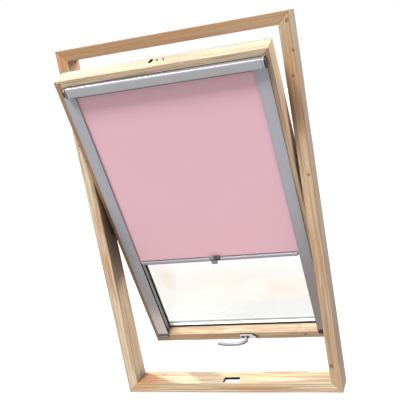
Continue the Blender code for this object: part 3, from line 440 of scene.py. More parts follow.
# The bore and shade colours paint shade; one shade on the sill is a knot instead.
PINE = {name: srgb(code) for name, code in (
    ("early", "C6B79C"), ("late", "8C6A48"), ("flame", "A5794E"), ("streak", "82634A"),
    ("dark_streak", "5F452E"), ("mottle", "9C7650"), ("fibre", "86684A"), ("stain", "A8703C"),
    ("knot_rim", "7A4A26"), ("knot", "4E2C15"), ("bore", "050302"), ("tone", "8C653F"), ("shade", "2A1709"))}
RINGS_TO_THE_METRE = 300.0
BORE_MOUTH = (0.5285, 0.5293)
LENGTH_UP = (RISE, X, DEPTH)
LENGTH_ACROSS = (X, RISE, DEPTH)
BOARDS = {
    "frame_jamb_right": dict(
        along=LENGTH_UP, pith=(0.395, -0.012), tone=0.28,
        knots=[(1.154, 0.3598, 0.0052), (1.0704, 0.3655, 0.004), (0.9998, 0.356, 0.0042),
               (0.7106, 0.3597, 0.004), (0.094, 0.344, 0.006)],
        stains=[(1.06, 0.348, 0.013), (0.985, 0.352, 0.016), (0.93, 0.35, 0.045)],
        # Shades: the first two darken the front face; the others are painted shade on the outer side and
        # along the inner edge beside the sash.
        shades=[((0.905, 0.358, -0.04), (0.075, 0.022, 0.03), 0.36),
                ((0.19, 0.35, -0.04), (0.11, 0.03, 0.03), 0.14),
                ((0.59, 0.3705, 0.0), (0.9, 0.0022, 0.09), 0.6),
                ((0.15, 0.3705, 0.0), (0.3, 0.0022, 0.09), 0.34),
                ((0.9, 0.334, -0.04), (0.12, 0.011, 0.03), 0.42)]),
    "frame_jamb_left": dict(
        along=LENGTH_UP, pith=(-0.33, 0.055), knots=[(0.88, -0.356, 0.005)],
        stains=[(0.62, -0.35, 0.016), (1.08, -0.35, 0.06), (0.48, -0.352, 0.012),
                (1.15, -0.35, 0.04), (1.16, -0.35, 0.03)],
        # Shades: painted shade in the gap beside the sash near the pivot, and in the corner at the jamb's
        # foot.
        shades=[((0.575, -0.3325, 0.01), (0.195, 0.0035, 0.09), 0.93),
                ((0.03, -0.3325, 0.01), (0.035, 0.0035, 0.06), 0.45)]),
    "frame_head": dict(
        along=LENGTH_ACROSS, pith=(1.215, 0.03), tone=0.7,
        stains=[(0.02, 1.162, 0.02), (-0.34, 1.16, 0.02)]),
    "frame_sill": dict(
        along=LENGTH_ACROSS, pith=(-0.02, 0.035),
        stains=[(0.06, 0.02, 0.02), (-0.31, 0.0355, 0.03), (-0.32, 0.034, 0.022)],
        # Shades: a knot on the top, and the ends darker by the jambs.
        shades=[((-0.256, 0.0355, 0.0215), (0.0065, 0.004, 0.005), 0.6),
                ((-0.3, 0.04, -0.01), (0.055, 0.012, 0.03), 0.1),
                ((0.31, 0.04, -0.012), (0.03, 0.012, 0.026), 0.1)]),
    "sash_stile_left": dict(
        along=LENGTH_UP, pith=(-0.36, 0.06), tone=0.66,
        knots=[(0.2529, -0.32, 0.004), (-0.2, -0.318, 0.005)], stains=[(0.12, -0.318, 0.014)],
        # Shades: painted shadow of the jamb across the stile's outer strip, and that strip darker all along.
        shades=[((0.035, -0.327, 0.0), (0.105, 0.012, 0.09), 0.55),
                ((0.0, -0.327, 0.0), (0.5, 0.03, 0.09), 0.28)]),
    "sash_stile_right": dict(
        along=LENGTH_UP, pith=(0.365, 0.05), tone=0.34,
        stains=[(-0.23, 0.318, 0.016), (0.3, 0.318, 0.016)],
        # Shade: the upper part darker.
        shades=[((0.44, 0.32, 0.0), (0.2, 0.03, 0.04), 0.24)]),
    "sash_top_rail": dict(
        along=LENGTH_ACROSS, pith=(0.545, -0.03), knots=[(-0.31, 0.52, 0.003)],
        bores=[(-0.027, 0.0325, 0.0065, 0.015, 0.0), (-0.0075, 0.0325, 0.0038, 0.0065, 0.0),
               (0.012, 0.0325, 0.0018, 0.0145, math.radians(28))],
        # Shade: painted shade on the top face, where the light falls.
        shades=[((0.0, 0.53, 0.03), (0.6, 0.002, 0.09), 0.09)]),
    "sash_bottom_rail": dict(
        along=LENGTH_ACROSS, pith=(-0.56, 0.03), tone=0.3,
        knots=[(0.23, -0.512, 0.005)], stains=[(-0.12, -0.515, 0.018)]),
}
# Painted reflections on the glass: middles in x and rise, half sizes and strengths.
PAINTED_REFLECTIONS = [((-0.216, -0.268), (0.044, 0.06), 1.0), ((0.171, -0.338), (0.1, 0.026), 1.0),
          ((0.0, -0.29), (0.3, 0.06), 0.62)]

WOOD = {node: pine(node, **board) for node, board in BOARDS.items()}
GLASS = clear_glass("pane_glass")
RUBBER = grained("gasket_rubber", srgb("0E0E0F"), 0.7, 1400.0, specular_ior_level=0.2)
SPACER = grained("spacer_bar", srgb("F1F1EE"), 0.4, 700.0)
TAPE = grained("glazing_tape", srgb("DAD9D5"), 0.6, 500.0)
COVER = grained("cover_coating", srgb("8C8F92"), 0.5, 1600.0, 0.00005, metallic=0.15)
SILVER_ACROSS = brushed("anodised_across", srgb("A9A9AC"), 0.35, 0.38)
# Painted shade on the cassette's top face, against the light that falls on it.
SILVER_CASSETTE = brushed("anodised_cassette", srgb("A9A9AC"), 0.35, 0.38,
                          painted_light_bands=[(0.505, 0.5074, srgb("87868B"))])
# Painted light on the left guide's foot, and painted shade on the lower right guide in the jamb's shadow.
SILVER_GUIDE = {side: brushed("anodised_" + side, srgb("A8A7AD"), 0.35, 0.42, RISE,
                              painted_light_bands=[(*ends, srgb(tint))])
                for side, ends, tint in (("left", (-0.34, -0.44), "CFC8C8"),
                                         ("right", (0.02, -0.34), "8A8282"))}
BAR_SILVER = brushed("anodised_bar", srgb("A29EA4"), 0.25, 0.42)
ZINC = brushed("zinc_plate", srgb("C9C8C4"), 0.8, 0.42, DEPTH, False, 0.16)
# Painted shade: hinge plates and pivot pins in a zinc made dark for the shade in the gap beside the sash.
ZINC_IN_PAINTED_SHADE = brushed("zinc_in_painted_shade", srgb("57504A"), 0.8, 0.5, DEPTH, False, 0.16)
# Painted shade: the latch cam made dark for the shade inside the rose's window.
CAM_STEEL_IN_PAINTED_SHADE = brushed("steel_in_painted_shade", srgb("4A4A4C"), 0.75, 0.45, streak=0.16)
HANDLE = brushed("satin_handle", srgb("86878B"), 0.3, 0.38, streak=0.06)
GREY_PLASTIC, PLUG_PLASTIC, FOOT_PLASTIC, SADDLE_PLASTIC, LIGHT_PLASTIC = [
    grained(name + "_plastic", srgb(code), 0.46)
    for name, code in (("grey", "55555A"), ("plug", "6F6B69"), ("foot", "A39D9A"), ("saddle", "77757A"),
                       ("light", "858387"))]
BLACK_PLASTIC = grained("black_plastic", srgb("1E1D20"), 0.38)
# Painted shade: black on the keep's inner walls, and dark behind the rose's front plate, in its window and
# round its sides.
KEEP_METAL = plated_with_painted_shade("keep_metal", RISE, (0.029, 0.0352), srgb("0C0B0A"), srgb("E6E3DE"), False)
ROSE_METAL = plated_with_painted_shade("rose_metal", DEPTH, (-0.0172, 0.0), srgb("17120F"), srgb("D6D3D2"), True)
WHITE_PLASTIC = grained("white_plastic", srgb("EDECEA"), 0.34)
CLOTH_PINK = woven("pink_cloth")


# Shapes

def on_sash(points):
    """Places in the frame of points given as x, depth and rise in the sash's space."""
    x, depth, rise = np.moveaxis(np.asarray(points, float), -1, 0)
    behind = depth - FACE_TO_PIVOT
    c, s = math.cos(OPEN_ANGLE), math.sin(OPEN_ANGLE)
    return np.stack((x, PIVOT_Y + behind * c - rise * s, PIVOT_Z + behind * s + rise * c), axis=-1)


def upright(points):
    """Points that are already in the frame."""
    return np.asarray(points, float)


def rings_closed(rings, looped=False):
    """Closed shell through rings of points: looped to the first ring, or with a flat face at each end."""
    count, around = rings.shape[:2]
    here = np.arange(count if looped else count - 1)[:, None] * around
    later = (here + around) % (count * around)
    step = np.arange(around)[None, :]
    after = (step + 1) % around
    quads = np.stack((here + step, here + after, later + after, later + step), -1)
    faces = quads.reshape(-1, 4).tolist()
    if not looped:
        faces += [list(range(around))[::-1], list(range((count - 1) * around, count * around))]
    return rings.reshape(-1, 3), faces


def piece(name, shells, look, body, stands_for=(), place=on_sash, sharp=32.0):
    """One object made of closed shells, riding on a body in place of the named CAD nodes."""
    points, faces, start = [], [], 0
    for shell_points, shell_faces in shells:
        points.append(shell_points)
        faces += [[i + start for i in face] for face in shell_faces]
        start += len(shell_points)
    mesh = bpy.data.meshes.new(name)
    mesh.from_pydata(place(np.concatenate(points)).tolist(), [], faces)
    return finished(name, mesh, look, body, stands_for, sharp)


def finished(name, mesh, look, body, stands_for, sharp):
    """Merges doubled points, turns the faces outward, and puts the object in the scene."""
    shape = bmesh.new()
    shape.from_mesh(mesh)
    bmesh.ops.remove_doubles(shape, verts=shape.verts, dist=MERGED_WITHIN)
    bmesh.ops.recalc_face_normals(shape, faces=shape.faces)
    shape.to_mesh(mesh)
    shape.free()
    mesh.materials.clear()
    mesh.materials.append(look)
    mesh.shade_smooth()
    mesh.set_sharp_from_angle(angle=math.radians(sharp))
    obj = bpy.data.objects.new(name, mesh)
    bpy.context.scene.collection.objects.link(obj)
    if stands_for:
        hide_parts(*stands_for)
    if body:
        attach(obj, body)
    return obj


def softened(node, look, body, width):
    """Copy of a CAD node with its edges rounded over."""
    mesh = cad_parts[node].data.copy()
    obj = finished(node + "_softened", mesh, look, body, (node,), 32.0)
    bevel = obj.modifiers.new("soft_edges", "BEVEL")
    bevel.width = width
    bevel.segments = 3
    bevel.limit_method = "ANGLE"
    bevel.angle_limit = math.radians(28)
    bevel.harden_normals = True


def rounded(corners, radius, steps=5):
    """Outline with each corner bridged by a quadratic curve from edge to edge, a radius from the corner."""
    corners = np.asarray(corners, float)
    before = np.roll(corners, 1, axis=0) - corners
    after = np.roll(corners, -1, axis=0) - corners
    made = []
    for corner, back, on, size in zip(corners, before, after, np.broadcast_to(radius, len(corners))):
        reach = min(size, 0.45 * np.linalg.norm(back), 0.45 * np.linalg.norm(on))
        start = corner + back / np.linalg.norm(back) * reach
        end = corner + on / np.linalg.norm(on) * reach
        t = np.linspace(0, 1, steps + 1)[:, None]
        made.append(start * (1 - t) ** 2 + corner * 2 * t * (1 - t) + end * t ** 2)
    return np.concatenate(made)


def box_outline(low, high):
    """The four corners of a rectangle between two opposite ones."""
    return [(low[0], low[1]), (high[0], low[1]), (high[0], high[1]), (low[0], high[1])]


def arc(centre, radius, start, end, steps=14):
    """Points on an arc between two angles in degrees."""
    angle = np.radians(np.linspace(start, end, steps + 1))
    return np.stack((centre[0] + radius * np.cos(angle), centre[1] + radius * np.sin(angle)), -1)


def thickened(path, thickness):
    """Outline of a bent sheet: the path, and its offset to the left by the thickness."""
    path = np.asarray(path, float)
    slope = np.gradient(path, axis=0)
    slope /= np.linalg.norm(slope, axis=1)[:, None]
    left = np.stack((-slope[:, 1], slope[:, 0]), -1)
    return np.concatenate((path, (path + left * thickness)[::-1]))


def drawn_out(outline, axis, low, high, edge=0.0003, steps=3):
    """Shell of an outline drawn out along an axis, with quarter rounds at its ends."""
    outline = np.asarray(outline, float)
    middle = (outline.min(0) + outline.max(0)) / 2
    half = (outline.max(0) - outline.min(0)) / 2
    turn = np.linspace(0, math.pi / 2, steps + 1)
    inset = np.concatenate((1 - np.sin(turn), 1 - np.sin(turn[::-1]))) * edge
    along = np.concatenate((low + edge * (1 - np.cos(turn)), high - edge * (1 - np.cos(turn[::-1]))))
    flat = middle + (outline - middle)[None] * (1 - inset[:, None, None] / half)
    level = np.broadcast_to(along[:, None], flat.shape[:2])
    return rings_closed(np.insert(flat, axis, level, axis=2))


def rounded_bar(low, high, radius, axis, start, end, edge=0.0003, steps=3):
    """Rectangle with rounded corners, drawn out along an axis."""
    return drawn_out(rounded(box_outline(low, high), radius), axis, start, end, edge, steps)


def mitred(section, half_width, half_rise):
    """Section carried round a rectangle in the sash's plane: one ring of points at each corner."""
    section = np.asarray(section, float)
    out, depth = section[:, 0], section[:, 1]
    rings = [np.stack((sign_x * (half_width + out), depth, sign_rise * (half_rise + out)), -1)
             for sign_x, sign_rise in ((-1, -1), (1, -1), (1, 1), (-1, 1))]
    return rings_closed(np.array(rings), looped=True)


def turned(profile, centre, axis, way=1, steps=40):
    """Surface of revolution of (radius, height) points about an axis through the centre."""
    profile = np.asarray(profile, float)
    angle = np.linspace(0, 2 * math.pi, steps, endpoint=False)
    radius = np.maximum(profile[:, :1], POLE_RADIUS)
    flat = np.stack((radius * np.cos(angle), radius * np.sin(angle)), -1)
    height = np.broadcast_to(way * profile[:, 1:], flat.shape[:2])
    return rings_closed(np.insert(flat, axis, height, axis=2) + np.asarray(centre, float))


def screw(centre, axis, way, head=0.003, shank=0.0015, length=0.0138):
    """Countersunk screw; its cross is deepest on the lines of its two arms and towards the middle."""
    share = np.linspace(0.001, 1, 15)
    angle = np.linspace(0, 2 * math.pi, 64, endpoint=False)
    across = share[:, None] * np.cos(angle) * head
    up = share[:, None] * np.sin(angle) * head
    slot = np.minimum(abs(across), abs(up)) / (head * 0.15)
    reach = np.maximum(abs(across), abs(up)) / (head * 0.62)
    cross = 1 / (1 + slot ** 6) * np.clip(1.35 * (1 - reach), 0, 1) ** 0.6
    upper = np.insert(np.stack((across, up), -1), axis, -way * cross * head * 0.42, axis=2)
    profile = np.array([(head, -0.0001), (shank, shank - head), (shank, shank - length),
                        (0.00005, -length)])
    flat = np.stack((profile[:, :1] * np.cos(angle), profile[:, :1] * np.sin(angle)), -1)
    lower = np.insert(flat, axis, way * np.broadcast_to(profile[:, 1:], flat.shape[:2]), axis=2)
    return rings_closed(np.concatenate((upper, lower)) + np.asarray(centre, float))


def bezier(points, t):
    """Cubic curve: its four points, weighted by the terms of ((1 - t) + t) cubed."""
    a, b, c, d = (np.asarray(point, float) for point in points)
    return a * (1 - t) ** 3 + b * 3 * t * (1 - t) ** 2 + c * 3 * t ** 2 * (1 - t) + d * t ** 3


# Camera, light, floor and backdrop

def make_stage():
    """Camera at the photograph's angle, a pale floor, a white backdrop and soft light from above."""
    scene = bpy.context.scene
    camera = bpy.data.objects.new("camera", bpy.data.cameras.new("camera"))
    camera.location = (0.76675, -2.06639, 1.19115)
    camera.rotation_euler = (1.3286, 0.1757, 0.3124)
    camera.data.lens = 64.97
    camera.data.sensor_width = 36.0
    scene.collection.objects.link(camera)
    scene.camera = camera
    scene.view_settings.view_transform = "Standard"

    def distant(name, elevation, azimuth, strength, spread, color):
        """Soft light from a direction; azimuth 0 is the room side and grows to the right."""
        light = bpy.data.lights.new(name, "SUN")
        light.energy = strength
        light.angle = math.radians(spread)
        light.color = color
        obj = bpy.data.objects.new(name, light)
        up, around = math.radians(elevation), math.radians(azimuth)
        toward = Vector((math.cos(up) * math.sin(around), -math.cos(up) * math.cos(around), math.sin(up)))
        obj.rotation_euler = (-toward).to_track_quat("-Z", "Y").to_euler()
        scene.collection.objects.link(obj)

    distant("key", 54.0, -14.0, 4.6, 16.0, (1.0, 0.985, 0.97))
    distant("high_left", 52.0, -117.5, 4.7, 4.0, (1.0, 0.995, 0.98))
    distant("back_right", 14.0, 114.0, 4.4, 20.0, (1.0, 1.0, 1.0))

    world = bpy.data.worlds.new("studio")
    scene.world = world
    world.use_nodes = True
    nodes, link = world.node_tree.nodes, world.node_tree.links.new
    background = nodes["Background"]
    coordinates = nodes.new("ShaderNodeTexCoord")
    split = nodes.new("ShaderNodeSeparateXYZ")
    height = nodes.new("ShaderNodeMapRange")
    height.inputs["From Min"].default_value = -1.0
    ramp = nodes.new("ShaderNodeValToRGB")
    for stop, place, grey in zip(ramp.color_ramp.elements, (0.25, 0.95), ((0.95, 0.95, 0.96), (0.6,) * 3)):
        stop.position, stop.color = place, (*grey, 1.0)
    link(coordinates.outputs["Generated"], split.inputs[0])
    link(split.outputs["Z"], height.inputs["Value"])
    link(height.outputs["Result"], ramp.inputs["Fac"])
    link(ramp.outputs["Color"], background.inputs["Color"])
    background.inputs["Strength"].default_value = 0.9

    white = {"emission_color": (1.0, 1.0, 1.0, 1.0), "emission_strength": 1.0}
    look = Look("pale_floor", roughness=0.9, base_color=(0.1, 0.1, 0.1, 1.0), **white)
    angle = np.linspace(0, 2 * math.pi, 96, endpoint=False)
    rim = np.stack((np.cos(angle), np.sin(angle), 0 * angle), -1) * FLOOR_RADIUS - (0.0, 0.0, FLOOR_DROP)
    floor = piece("floor", [(rim, [range(96)])], look.material, None, place=upright, sharp=30.0)
    floor.visible_glossy = floor.visible_diffuse = False

    look = Look("white_backdrop", base_color=(0.0, 0.0, 0.0, 1.0), roughness=1.0, specular_ior_level=0.0,
                **white)
    level = np.linspace(-0.05, math.pi / 2 - 0.001, 24)[:, None]
    out = np.cos(level)
    dome = np.stack((out * np.cos(angle), out * np.sin(angle), np.sin(level) + 0 * angle), -1)
    backdrop = piece("backdrop", [rings_closed(dome * DOME_RADIUS)], look.material, None, place=upright,
                     sharp=60.0)
    backdrop.visible_diffuse = backdrop.visible_glossy = backdrop.visible_shadow = False


# The object

def dress_cad_nodes():
    """Gives each CAD node that stays in view its material."""
    looks = dict(WOOD, inner_pane=GLASS, outer_pane=GLASS, glass_spacer=SPACER, glazing_tape=TAPE,
                 roller_tube=SILVER_ACROSS, roller_plug=GREY_PLASTIC, spring_barrel=GREY_PLASTIC)
    for side in ("left", "right", "top", "bottom"):
        looks["cover_" + side] = COVER
    for node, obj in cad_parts.items():
        for slot in obj.material_slots:
            slot.material = looks.get(node, ZINC)


def crossed_screw(node, body, axis, way):
    """Puts a screw with a cross in place of the CAD's plain one, its head at the same end."""
    low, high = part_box(node)
    centre = (np.array(low) + np.array(high)) / 2
    centre[axis] = high[axis] if way > 0 else low[axis]
    piece(node + "_cross", [screw(centre, axis, way)], ZINC, body, (node,), upright)


def build_metalwork():
    """Keep with its rubber buffer, black also as painted shade, hinge plates, pivot pins and cam with soft
    edges, and the screws.
    """
    softened("keep", KEEP_METAL, "frame", PLATE_EDGE)
    low, high = (np.array(corner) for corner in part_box("keep"))
    left, room, floor = low + KEEP_WALL
    right, rear, _ = high - KEEP_WALL
    front, edge = rear - KEEP_BUFFER[0], left + KEEP_BUFFER[1]
    end = front - 2 * HAIR
    # The black buffer on the keep's back and left walls also paints the shade there.
    back = [(left, front), (right, front), (right, rear), (left, rear)]
    side = [(left, room), (edge, room + BUFFER_SLANT), (edge, end), (left, end)]
    shells = [drawn_out(rounded(line, BUFFER_ROUND), RISE, floor, high[RISE] - BUFFER_LOW)
              for line in (back, side)]
    piece("keep_buffer_painted_shade", shells, RUBBER, "frame", (), upright)
    for part, body in (("frame_hinge_plate", "frame"), ("pivot_pin", "frame"),
                       ("sash_hinge_plate", "sash")):
        for side, _ in SIDES:
            softened(f"{part}_{side}", ZINC_IN_PAINTED_SHADE, body, PLATE_EDGE)
    softened("latch_cam", CAM_STEEL_IN_PAINTED_SHADE, "handle", PLATE_EDGE)
    for side, sign in SIDES:
        crossed_screw("keep_screw_" + side, "frame", RISE, 1)
        for end in ("lower", "upper"):
            for body, way in (("frame", -sign), ("sash", sign)):
                crossed_screw(f"{body}_hinge_screw_{side}_{end}", body, X, way)


def build_glazing():
    """Rubber lip on the glass, white tape behind the outer pane, and domed rivets in the covers."""
    low, high = GASKET_DEPTHS
    slope, crest, tip = GASKET_LIP
    section = rounded([(-GASKET_WIDTH, low + slope), (-crest, low), (0.0, low + tip), (0.0, high),
                       (-GASKET_WIDTH, high)], 0.0007)
    lip = mitred(section, GLASS_OPENING[0] - TAPE_SHOWN, GLASS_OPENING[1] - CLEARANCE)
    piece("glazing_lip", [lip], RUBBER, "sash", ("glazing_gasket",))
    flat = box_outline((0.0, GLASS_BACK + HAIR), (COVER_TAPE_WIDTH, GLASS_BACK + 4 * HAIR))
    tape = mitred(flat, *(half + COVER_TAPE_INSET for half in GLASS_OPENING))
    piece("cover_tape", [tape], WHITE_PLASTIC, "sash", ())
    line_x, line_rise = RIVET_LINES
    places = [(side * line_x, COVER_BACK, rise) for side in (-1, 1) for rise in RIVET_RISES]
    places += [(x, COVER_BACK, side * line_rise) for side in (-1, 1) for x in RIVET_PLACES]
    shells = [turned(RIVET, place, DEPTH, 1, 32) for place in places]
    piece("cover_rivets", shells, COVER, "sash", ())


def cassette_face():
    """Outer line of the cassette's section in depth and rise, from its back top to its back bottom."""
    front, r = -CASSETTE["proud"], CASSETTE["round"]
    upper = arc((front + r, CASSETTE["top"] - r), r, 90, 180)
    lower = arc((front + r, CASSETTE["bottom"] + r), r, 180, 270)
    return np.concatenate(([(-CLEARANCE, CASSETTE["top"])], upper, lower))


def build_cassette():
    """Cassette: a sheet bent along the face line to a lip at its back and a curl at the slot.

    Two beads run along its face, black felt closes its slot and its top and paints the shadow lines there,
    and its ends are filled sections, dark as painted shade.
    """
    face = cassette_face()
    top, bottom = CASSETTE["top"], CASSETTE["bottom"]
    left, right = HOUSING_ENDS
    lip = [(-CLEARANCE, top - 0.004), (-CLEARANCE, top - 0.0012)]
    curl = arc((CURL_DEPTH, bottom + CURL_RADIUS), CURL_RADIUS, 270, 360, 6)
    section = thickened(np.concatenate((lip, face[1:], curl)), -CASSETTE["sheet"])
    shell = drawn_out(section, X, left, right, HAIR)
    piece("cassette_shell", [shell], SILVER_CASSETTE, "sash", ("cassette_housing",))
    lines = [arc((-CASSETTE["proud"] + 0.00002, rise), BEAD_RADIUS, 90, 270, 8) for rise in BEAD_RISES]
    beads = [drawn_out(line, X, left + 0.0004, right - 0.0004, HAIR) for line in lines]
    piece("cassette_beads", beads, SILVER_ACROSS, "sash", ())
    end = GUIDE_INNER - END_GAP
    # Black felt at the slot and along the top, which also paints the shadow lines under and over the
    # cassette.
    wipe = rounded_bar((WIPE_DEPTHS[0], bottom - 0.002), (WIPE_DEPTHS[1], bottom + 0.0003), 0.0006,
                       X, -end, end)
    seal = rounded_bar((-0.0017, top + HAIR), (-CLEARANCE, top + 0.002), 0.0005, X, left, right)
    piece("cassette_felt_painted_shadow", [wipe, seal], BLACK_PLASTIC, "sash", ())
    # Plastic end caps; the left one dark grey and the right one black behind a silver collar, as painted
    # shade at the ends.
    filled = np.concatenate((face, [(-CLEARANCE, bottom)]))
    start = left - CLEARANCE
    cap = drawn_out(filled, X, start - CAP_WIDTH["left"], start, CAP_ROUND, 5)
    piece("cassette_end_left", [cap], GREY_PLASTIC, "sash", ("cassette_cap_left",))
    start = right + CLEARANCE
    middle = start + COLLAR_WIDTH
    collar = drawn_out(filled, X, start, middle, 0.0005)
    node = "cassette_cap_right"
    piece("cassette_collar_right", [collar], SILVER_ACROSS, "sash", (node,))
    cap = drawn_out(filled, X, middle + 2 * HAIR, start + CAP_WIDTH["right"], CAP_ROUND, 5)
    piece("cassette_end_right", [cap], BLACK_PLASTIC, "sash", (node,))
    foot = left - CAP_WIDTH["left"] - 2 * CLEARANCE
    knob = turned(KNOB, (foot, *KNOB_PLACE), X, -1)
    piece("cassette_knob", [knob], WHITE_PLASTIC, "sash", ("cassette_catch",))


def guide_section(sign):
    """Drawn aluminium guide: a channel that opens inwards, with two fine lines down its face."""
    front, back = GUIDE_DEPTHS
    near, far = GROOVE_DEPTHS
    bottom = GUIDE_INNER + GROOVE_REACH
    half = LINE_HALF
    corners = [(GUIDE_INNER, front)]
    for line in (GUIDE_INNER + LINE_INSET, GUIDE_OUTER - LINE_INSET):
        corners += [(line - half, front), (line, front + half), (line + half, front)]
    corners += [(GUIDE_OUTER, front), (GUIDE_OUTER, back), (GUIDE_INNER, back), (GUIDE_INNER, far),
                (bottom, far), (bottom, near), (GUIDE_INNER, near)]
    return rounded(corners, 0.0005, 4) * (sign, 1)


def brush_section():
    """Angle of brush pile: one leg on the guide's inner face, one on the groove's back lip."""
    proud, reach, thick = BRUSH
    start, end = GUIDE_INNER - proud, GUIDE_INNER + reach
    inner, back, lip = GUIDE_INNER - HAIR, GUIDE_DEPTHS[1] - HAIR, GROOVE_DEPTHS[1] - HAIR
    return rounded([(start, lip - thick), (end, lip - thick), (end, lip), (inner, lip), (inner, back),
                    (start, back)], HAIR)


def mirrored(low, high, sign):
    """A range of half widths as x from left to right, on the given side."""
    return sorted((sign * low, sign * high))


def build_guides():
    """Guides that hold the cloth's edges, with their end caps, the right one black as painted shade, and a
    line of brush pile that also paints a shadow line.
    """
    low, high = GUIDE_RISE
    front, back = GUIDE_DEPTHS
    brushes = []
    for side, sign in SIDES:
        start = low + PLUG_OVERLAP
        # Black brush pile, which also paints the shadow line along the guide's inner edge.
        brushes.append(drawn_out(brush_section() * (sign, 1), RISE, start, high - END_GAP))
        channel = drawn_out(guide_section(sign), RISE, start, high, HAIR)
        piece("guide_channel_" + side, [channel], SILVER_GUIDE[side], "sash", ("guide_" + side,))
        inner, outer = mirrored(GUIDE_INNER + CLEARANCE, GUIDE_OUTER - CLEARANCE, sign)
        top = low - CLEARANCE
        plug = rounded_bar((inner, front), (outer, back), CAP_ROUND, RISE, top - END_CAP_HEIGHT,
                           top + PLUG_OVERLAP - END_GAP, 0.0009, 4)
        # Painted shade: the right plug is black and the left one grey, as shaded and lit copies.
        look = PLUG_PLASTIC if side == "left" else BLACK_PLASTIC
        piece("guide_plug_" + side, [plug], look, "sash", ("guide_end_cap_" + side,))
    piece("guide_brushes_painted_shadow", brushes, RUBBER, "sash", ())


def build_trims():
    """Low black flange under each guide's end cap as a painted shadow, faced pale on the left as painted
    light, and the pale lines beside the glass, also a painted highlight.
    """
    # Painted shadow: a black flange under each end cap; painted light: the pale face on the left only.
    foot = (0.0005, (-0.0036, -0.0002), BLACK_PLASTIC)
    face = (0.003, (-0.0042, -0.0034), FOOT_PLASTIC)
    for name, sign, (inset, depths, look) in (("foot_left", -1, foot), ("face_left", -1, face),
                                              ("foot_right", 1, foot)):
        near, far = mirrored(GUIDE_INNER + inset, GUIDE_OUTER - inset, sign)
        top = GUIDE_RISE[0] - END_CAP_HEIGHT - CLEARANCE - inset
        flange = rounded_bar((near, depths[0]), (far, depths[1]), 0.0003, RISE,
                             top - FOOT_HEIGHT + 2 * inset, top)
        piece("guide_" + name, [flange], look, "sash", ())
    # Pale trims beside the glass, which also paint the highlight there.
    edge, end = GLASS_OPENING
    back = GASKET_DEPTHS[0] - 2 * HAIR
    trims = []
    for _, sign in SIDES:
        near, far = mirrored(edge - HAIR, edge - 5 * HAIR, sign)
        trims.append(rounded_bar((near, TRIM_FRONT), (far, back), HAIR, RISE, END_GAP - end,
                                 CASSETTE["bottom"]))
    piece("reveal_trims_painted_highlight", trims, TAPE, "sash", ())


def build_cloth():
    """Flat drop in three strips between sash and bar, and the cloth left on the roller.

    The drop ripples by a sine across it, which dies out at its top and bottom. The roll is a spiral.
    """
    top, bottom = CLOTH_TOP, BAR_TOP - CLOTH_IN_BAR
    whole = top - bottom
    breaks = (0.0, 0.15, 0.85, 1.0)
    for number, (start, end) in enumerate(zip(breaks, breaks[1:])):
        rows = 13 if end - start < 0.5 else 71
        rise = top - whole * np.linspace(start, end, rows)
        across = np.linspace(-CLOTH_HALF_WIDTH, CLOTH_HALF_WIDTH, 61)
        grid_x, grid_rise = np.meshgrid(across, rise)
        ripple = RIPPLE * np.sin(grid_x * 19 + 0.6) * np.sin(math.pi * (top - grid_rise) / whole)
        face = np.stack((grid_x, CLOTH_DEPTH - CLOTH / 2 + ripple, grid_rise), -1)
        rear = face[:, ::-1] + (0.0, CLOTH, 0.0)
        strip = piece(f"blind_cloth_{number}", [rings_closed(np.concatenate((face, rear), axis=1))],
                      CLOTH_PINK, None, ("blind_fabric",), sharp=70.0)
        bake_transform(strip)
    turn = np.linspace(0, 2 * math.pi * ROLL_TURNS, 36 * ROLL_TURNS + 1)
    radius = TUBE_RADIUS + ROLL_GAP + ROLL_PITCH * turn / (2 * math.pi)
    depth, rise = ROLLER
    inner, outer = (np.stack((depth + r * np.cos(turn), rise + r * np.sin(turn)), -1)
                    for r in (radius, radius + CLOTH))
    section = np.concatenate((inner, outer[::-1]))
    across = np.linspace(-CLOTH_HALF_WIDTH, CLOTH_HALF_WIDTH, 9)
    rings = np.stack([np.insert(section, 0, x, axis=1) for x in across])
    roll = piece("cloth_roll", [rings_closed(rings)], CLOTH_PINK, "roller", ("fabric_roll",),
                 sharp=70.0)


def build_bar():
    """Bar with a slot for the cloth, its two black seals, which also paint the shadow lines along it, and
    the glides that run in the guides.
    """
    front, back = BAR_DEPTHS
    half, deep = BAR_SLOT
    near, far = CLOTH_DEPTH - half, CLOTH_DEPTH + half
    wide, drop, side = BAR_STEP
    step = front + wide
    corners = [(front, -BAR_HEIGHT), (back, -BAR_HEIGHT), (back, 0.0), (far, 0.0), (far, -deep),
               (near, -deep), (near, 0.0), (step, 0.0), (step, -drop), (front, -side)]
    outline = rounded(corners, BAR_RADII) + (0.0, BAR_TOP)
    piece("bottom_bar_profile", [drawn_out(outline, X, -BAR_HALF, BAR_HALF, 0.0002)], BAR_SILVER,
          "blind_bar", ("bottom_bar",))
    under = BAR_TOP - BAR_HEIGHT
    end = BAR_HALF - END_GAP
    # Black seals on top and under the front, which also paint the shadow lines along the bar.
    cord = rounded_bar((CLOTH_DEPTH - 0.0016, BAR_TOP + 0.0002), (CLOTH_DEPTH - 0.0003, BAR_TOP + 0.002),
                       0.0005, X, -end, end)
    lip = rounded_bar((front + 0.0008, under - 0.0011), (front + 0.003, under + 0.0004), 0.0004, X,
                      -end, end)
    piece("bar_seals_painted_shadow", [cord, lip], BLACK_PLASTIC, "blind_bar", ())
    for side, sign in SIDES:
        node = "bar_glide_" + side
        low, high = mirrored(BAR_HALF + CLEARANCE, GUIDE_INNER + GLIDE_REACH, sign)
        glide = rounded_bar((CLOTH_DEPTH - GLIDE_HALF_DEPTH, under + END_GAP),
                            (CLOTH_DEPTH + GLIDE_HALF_DEPTH, BAR_TOP - END_GAP), 0.0016, X,
                            low, high, CAP_ROUND, 5)
        piece(node + "_runner", [glide], LIGHT_PLASTIC, "blind_bar", (node,))


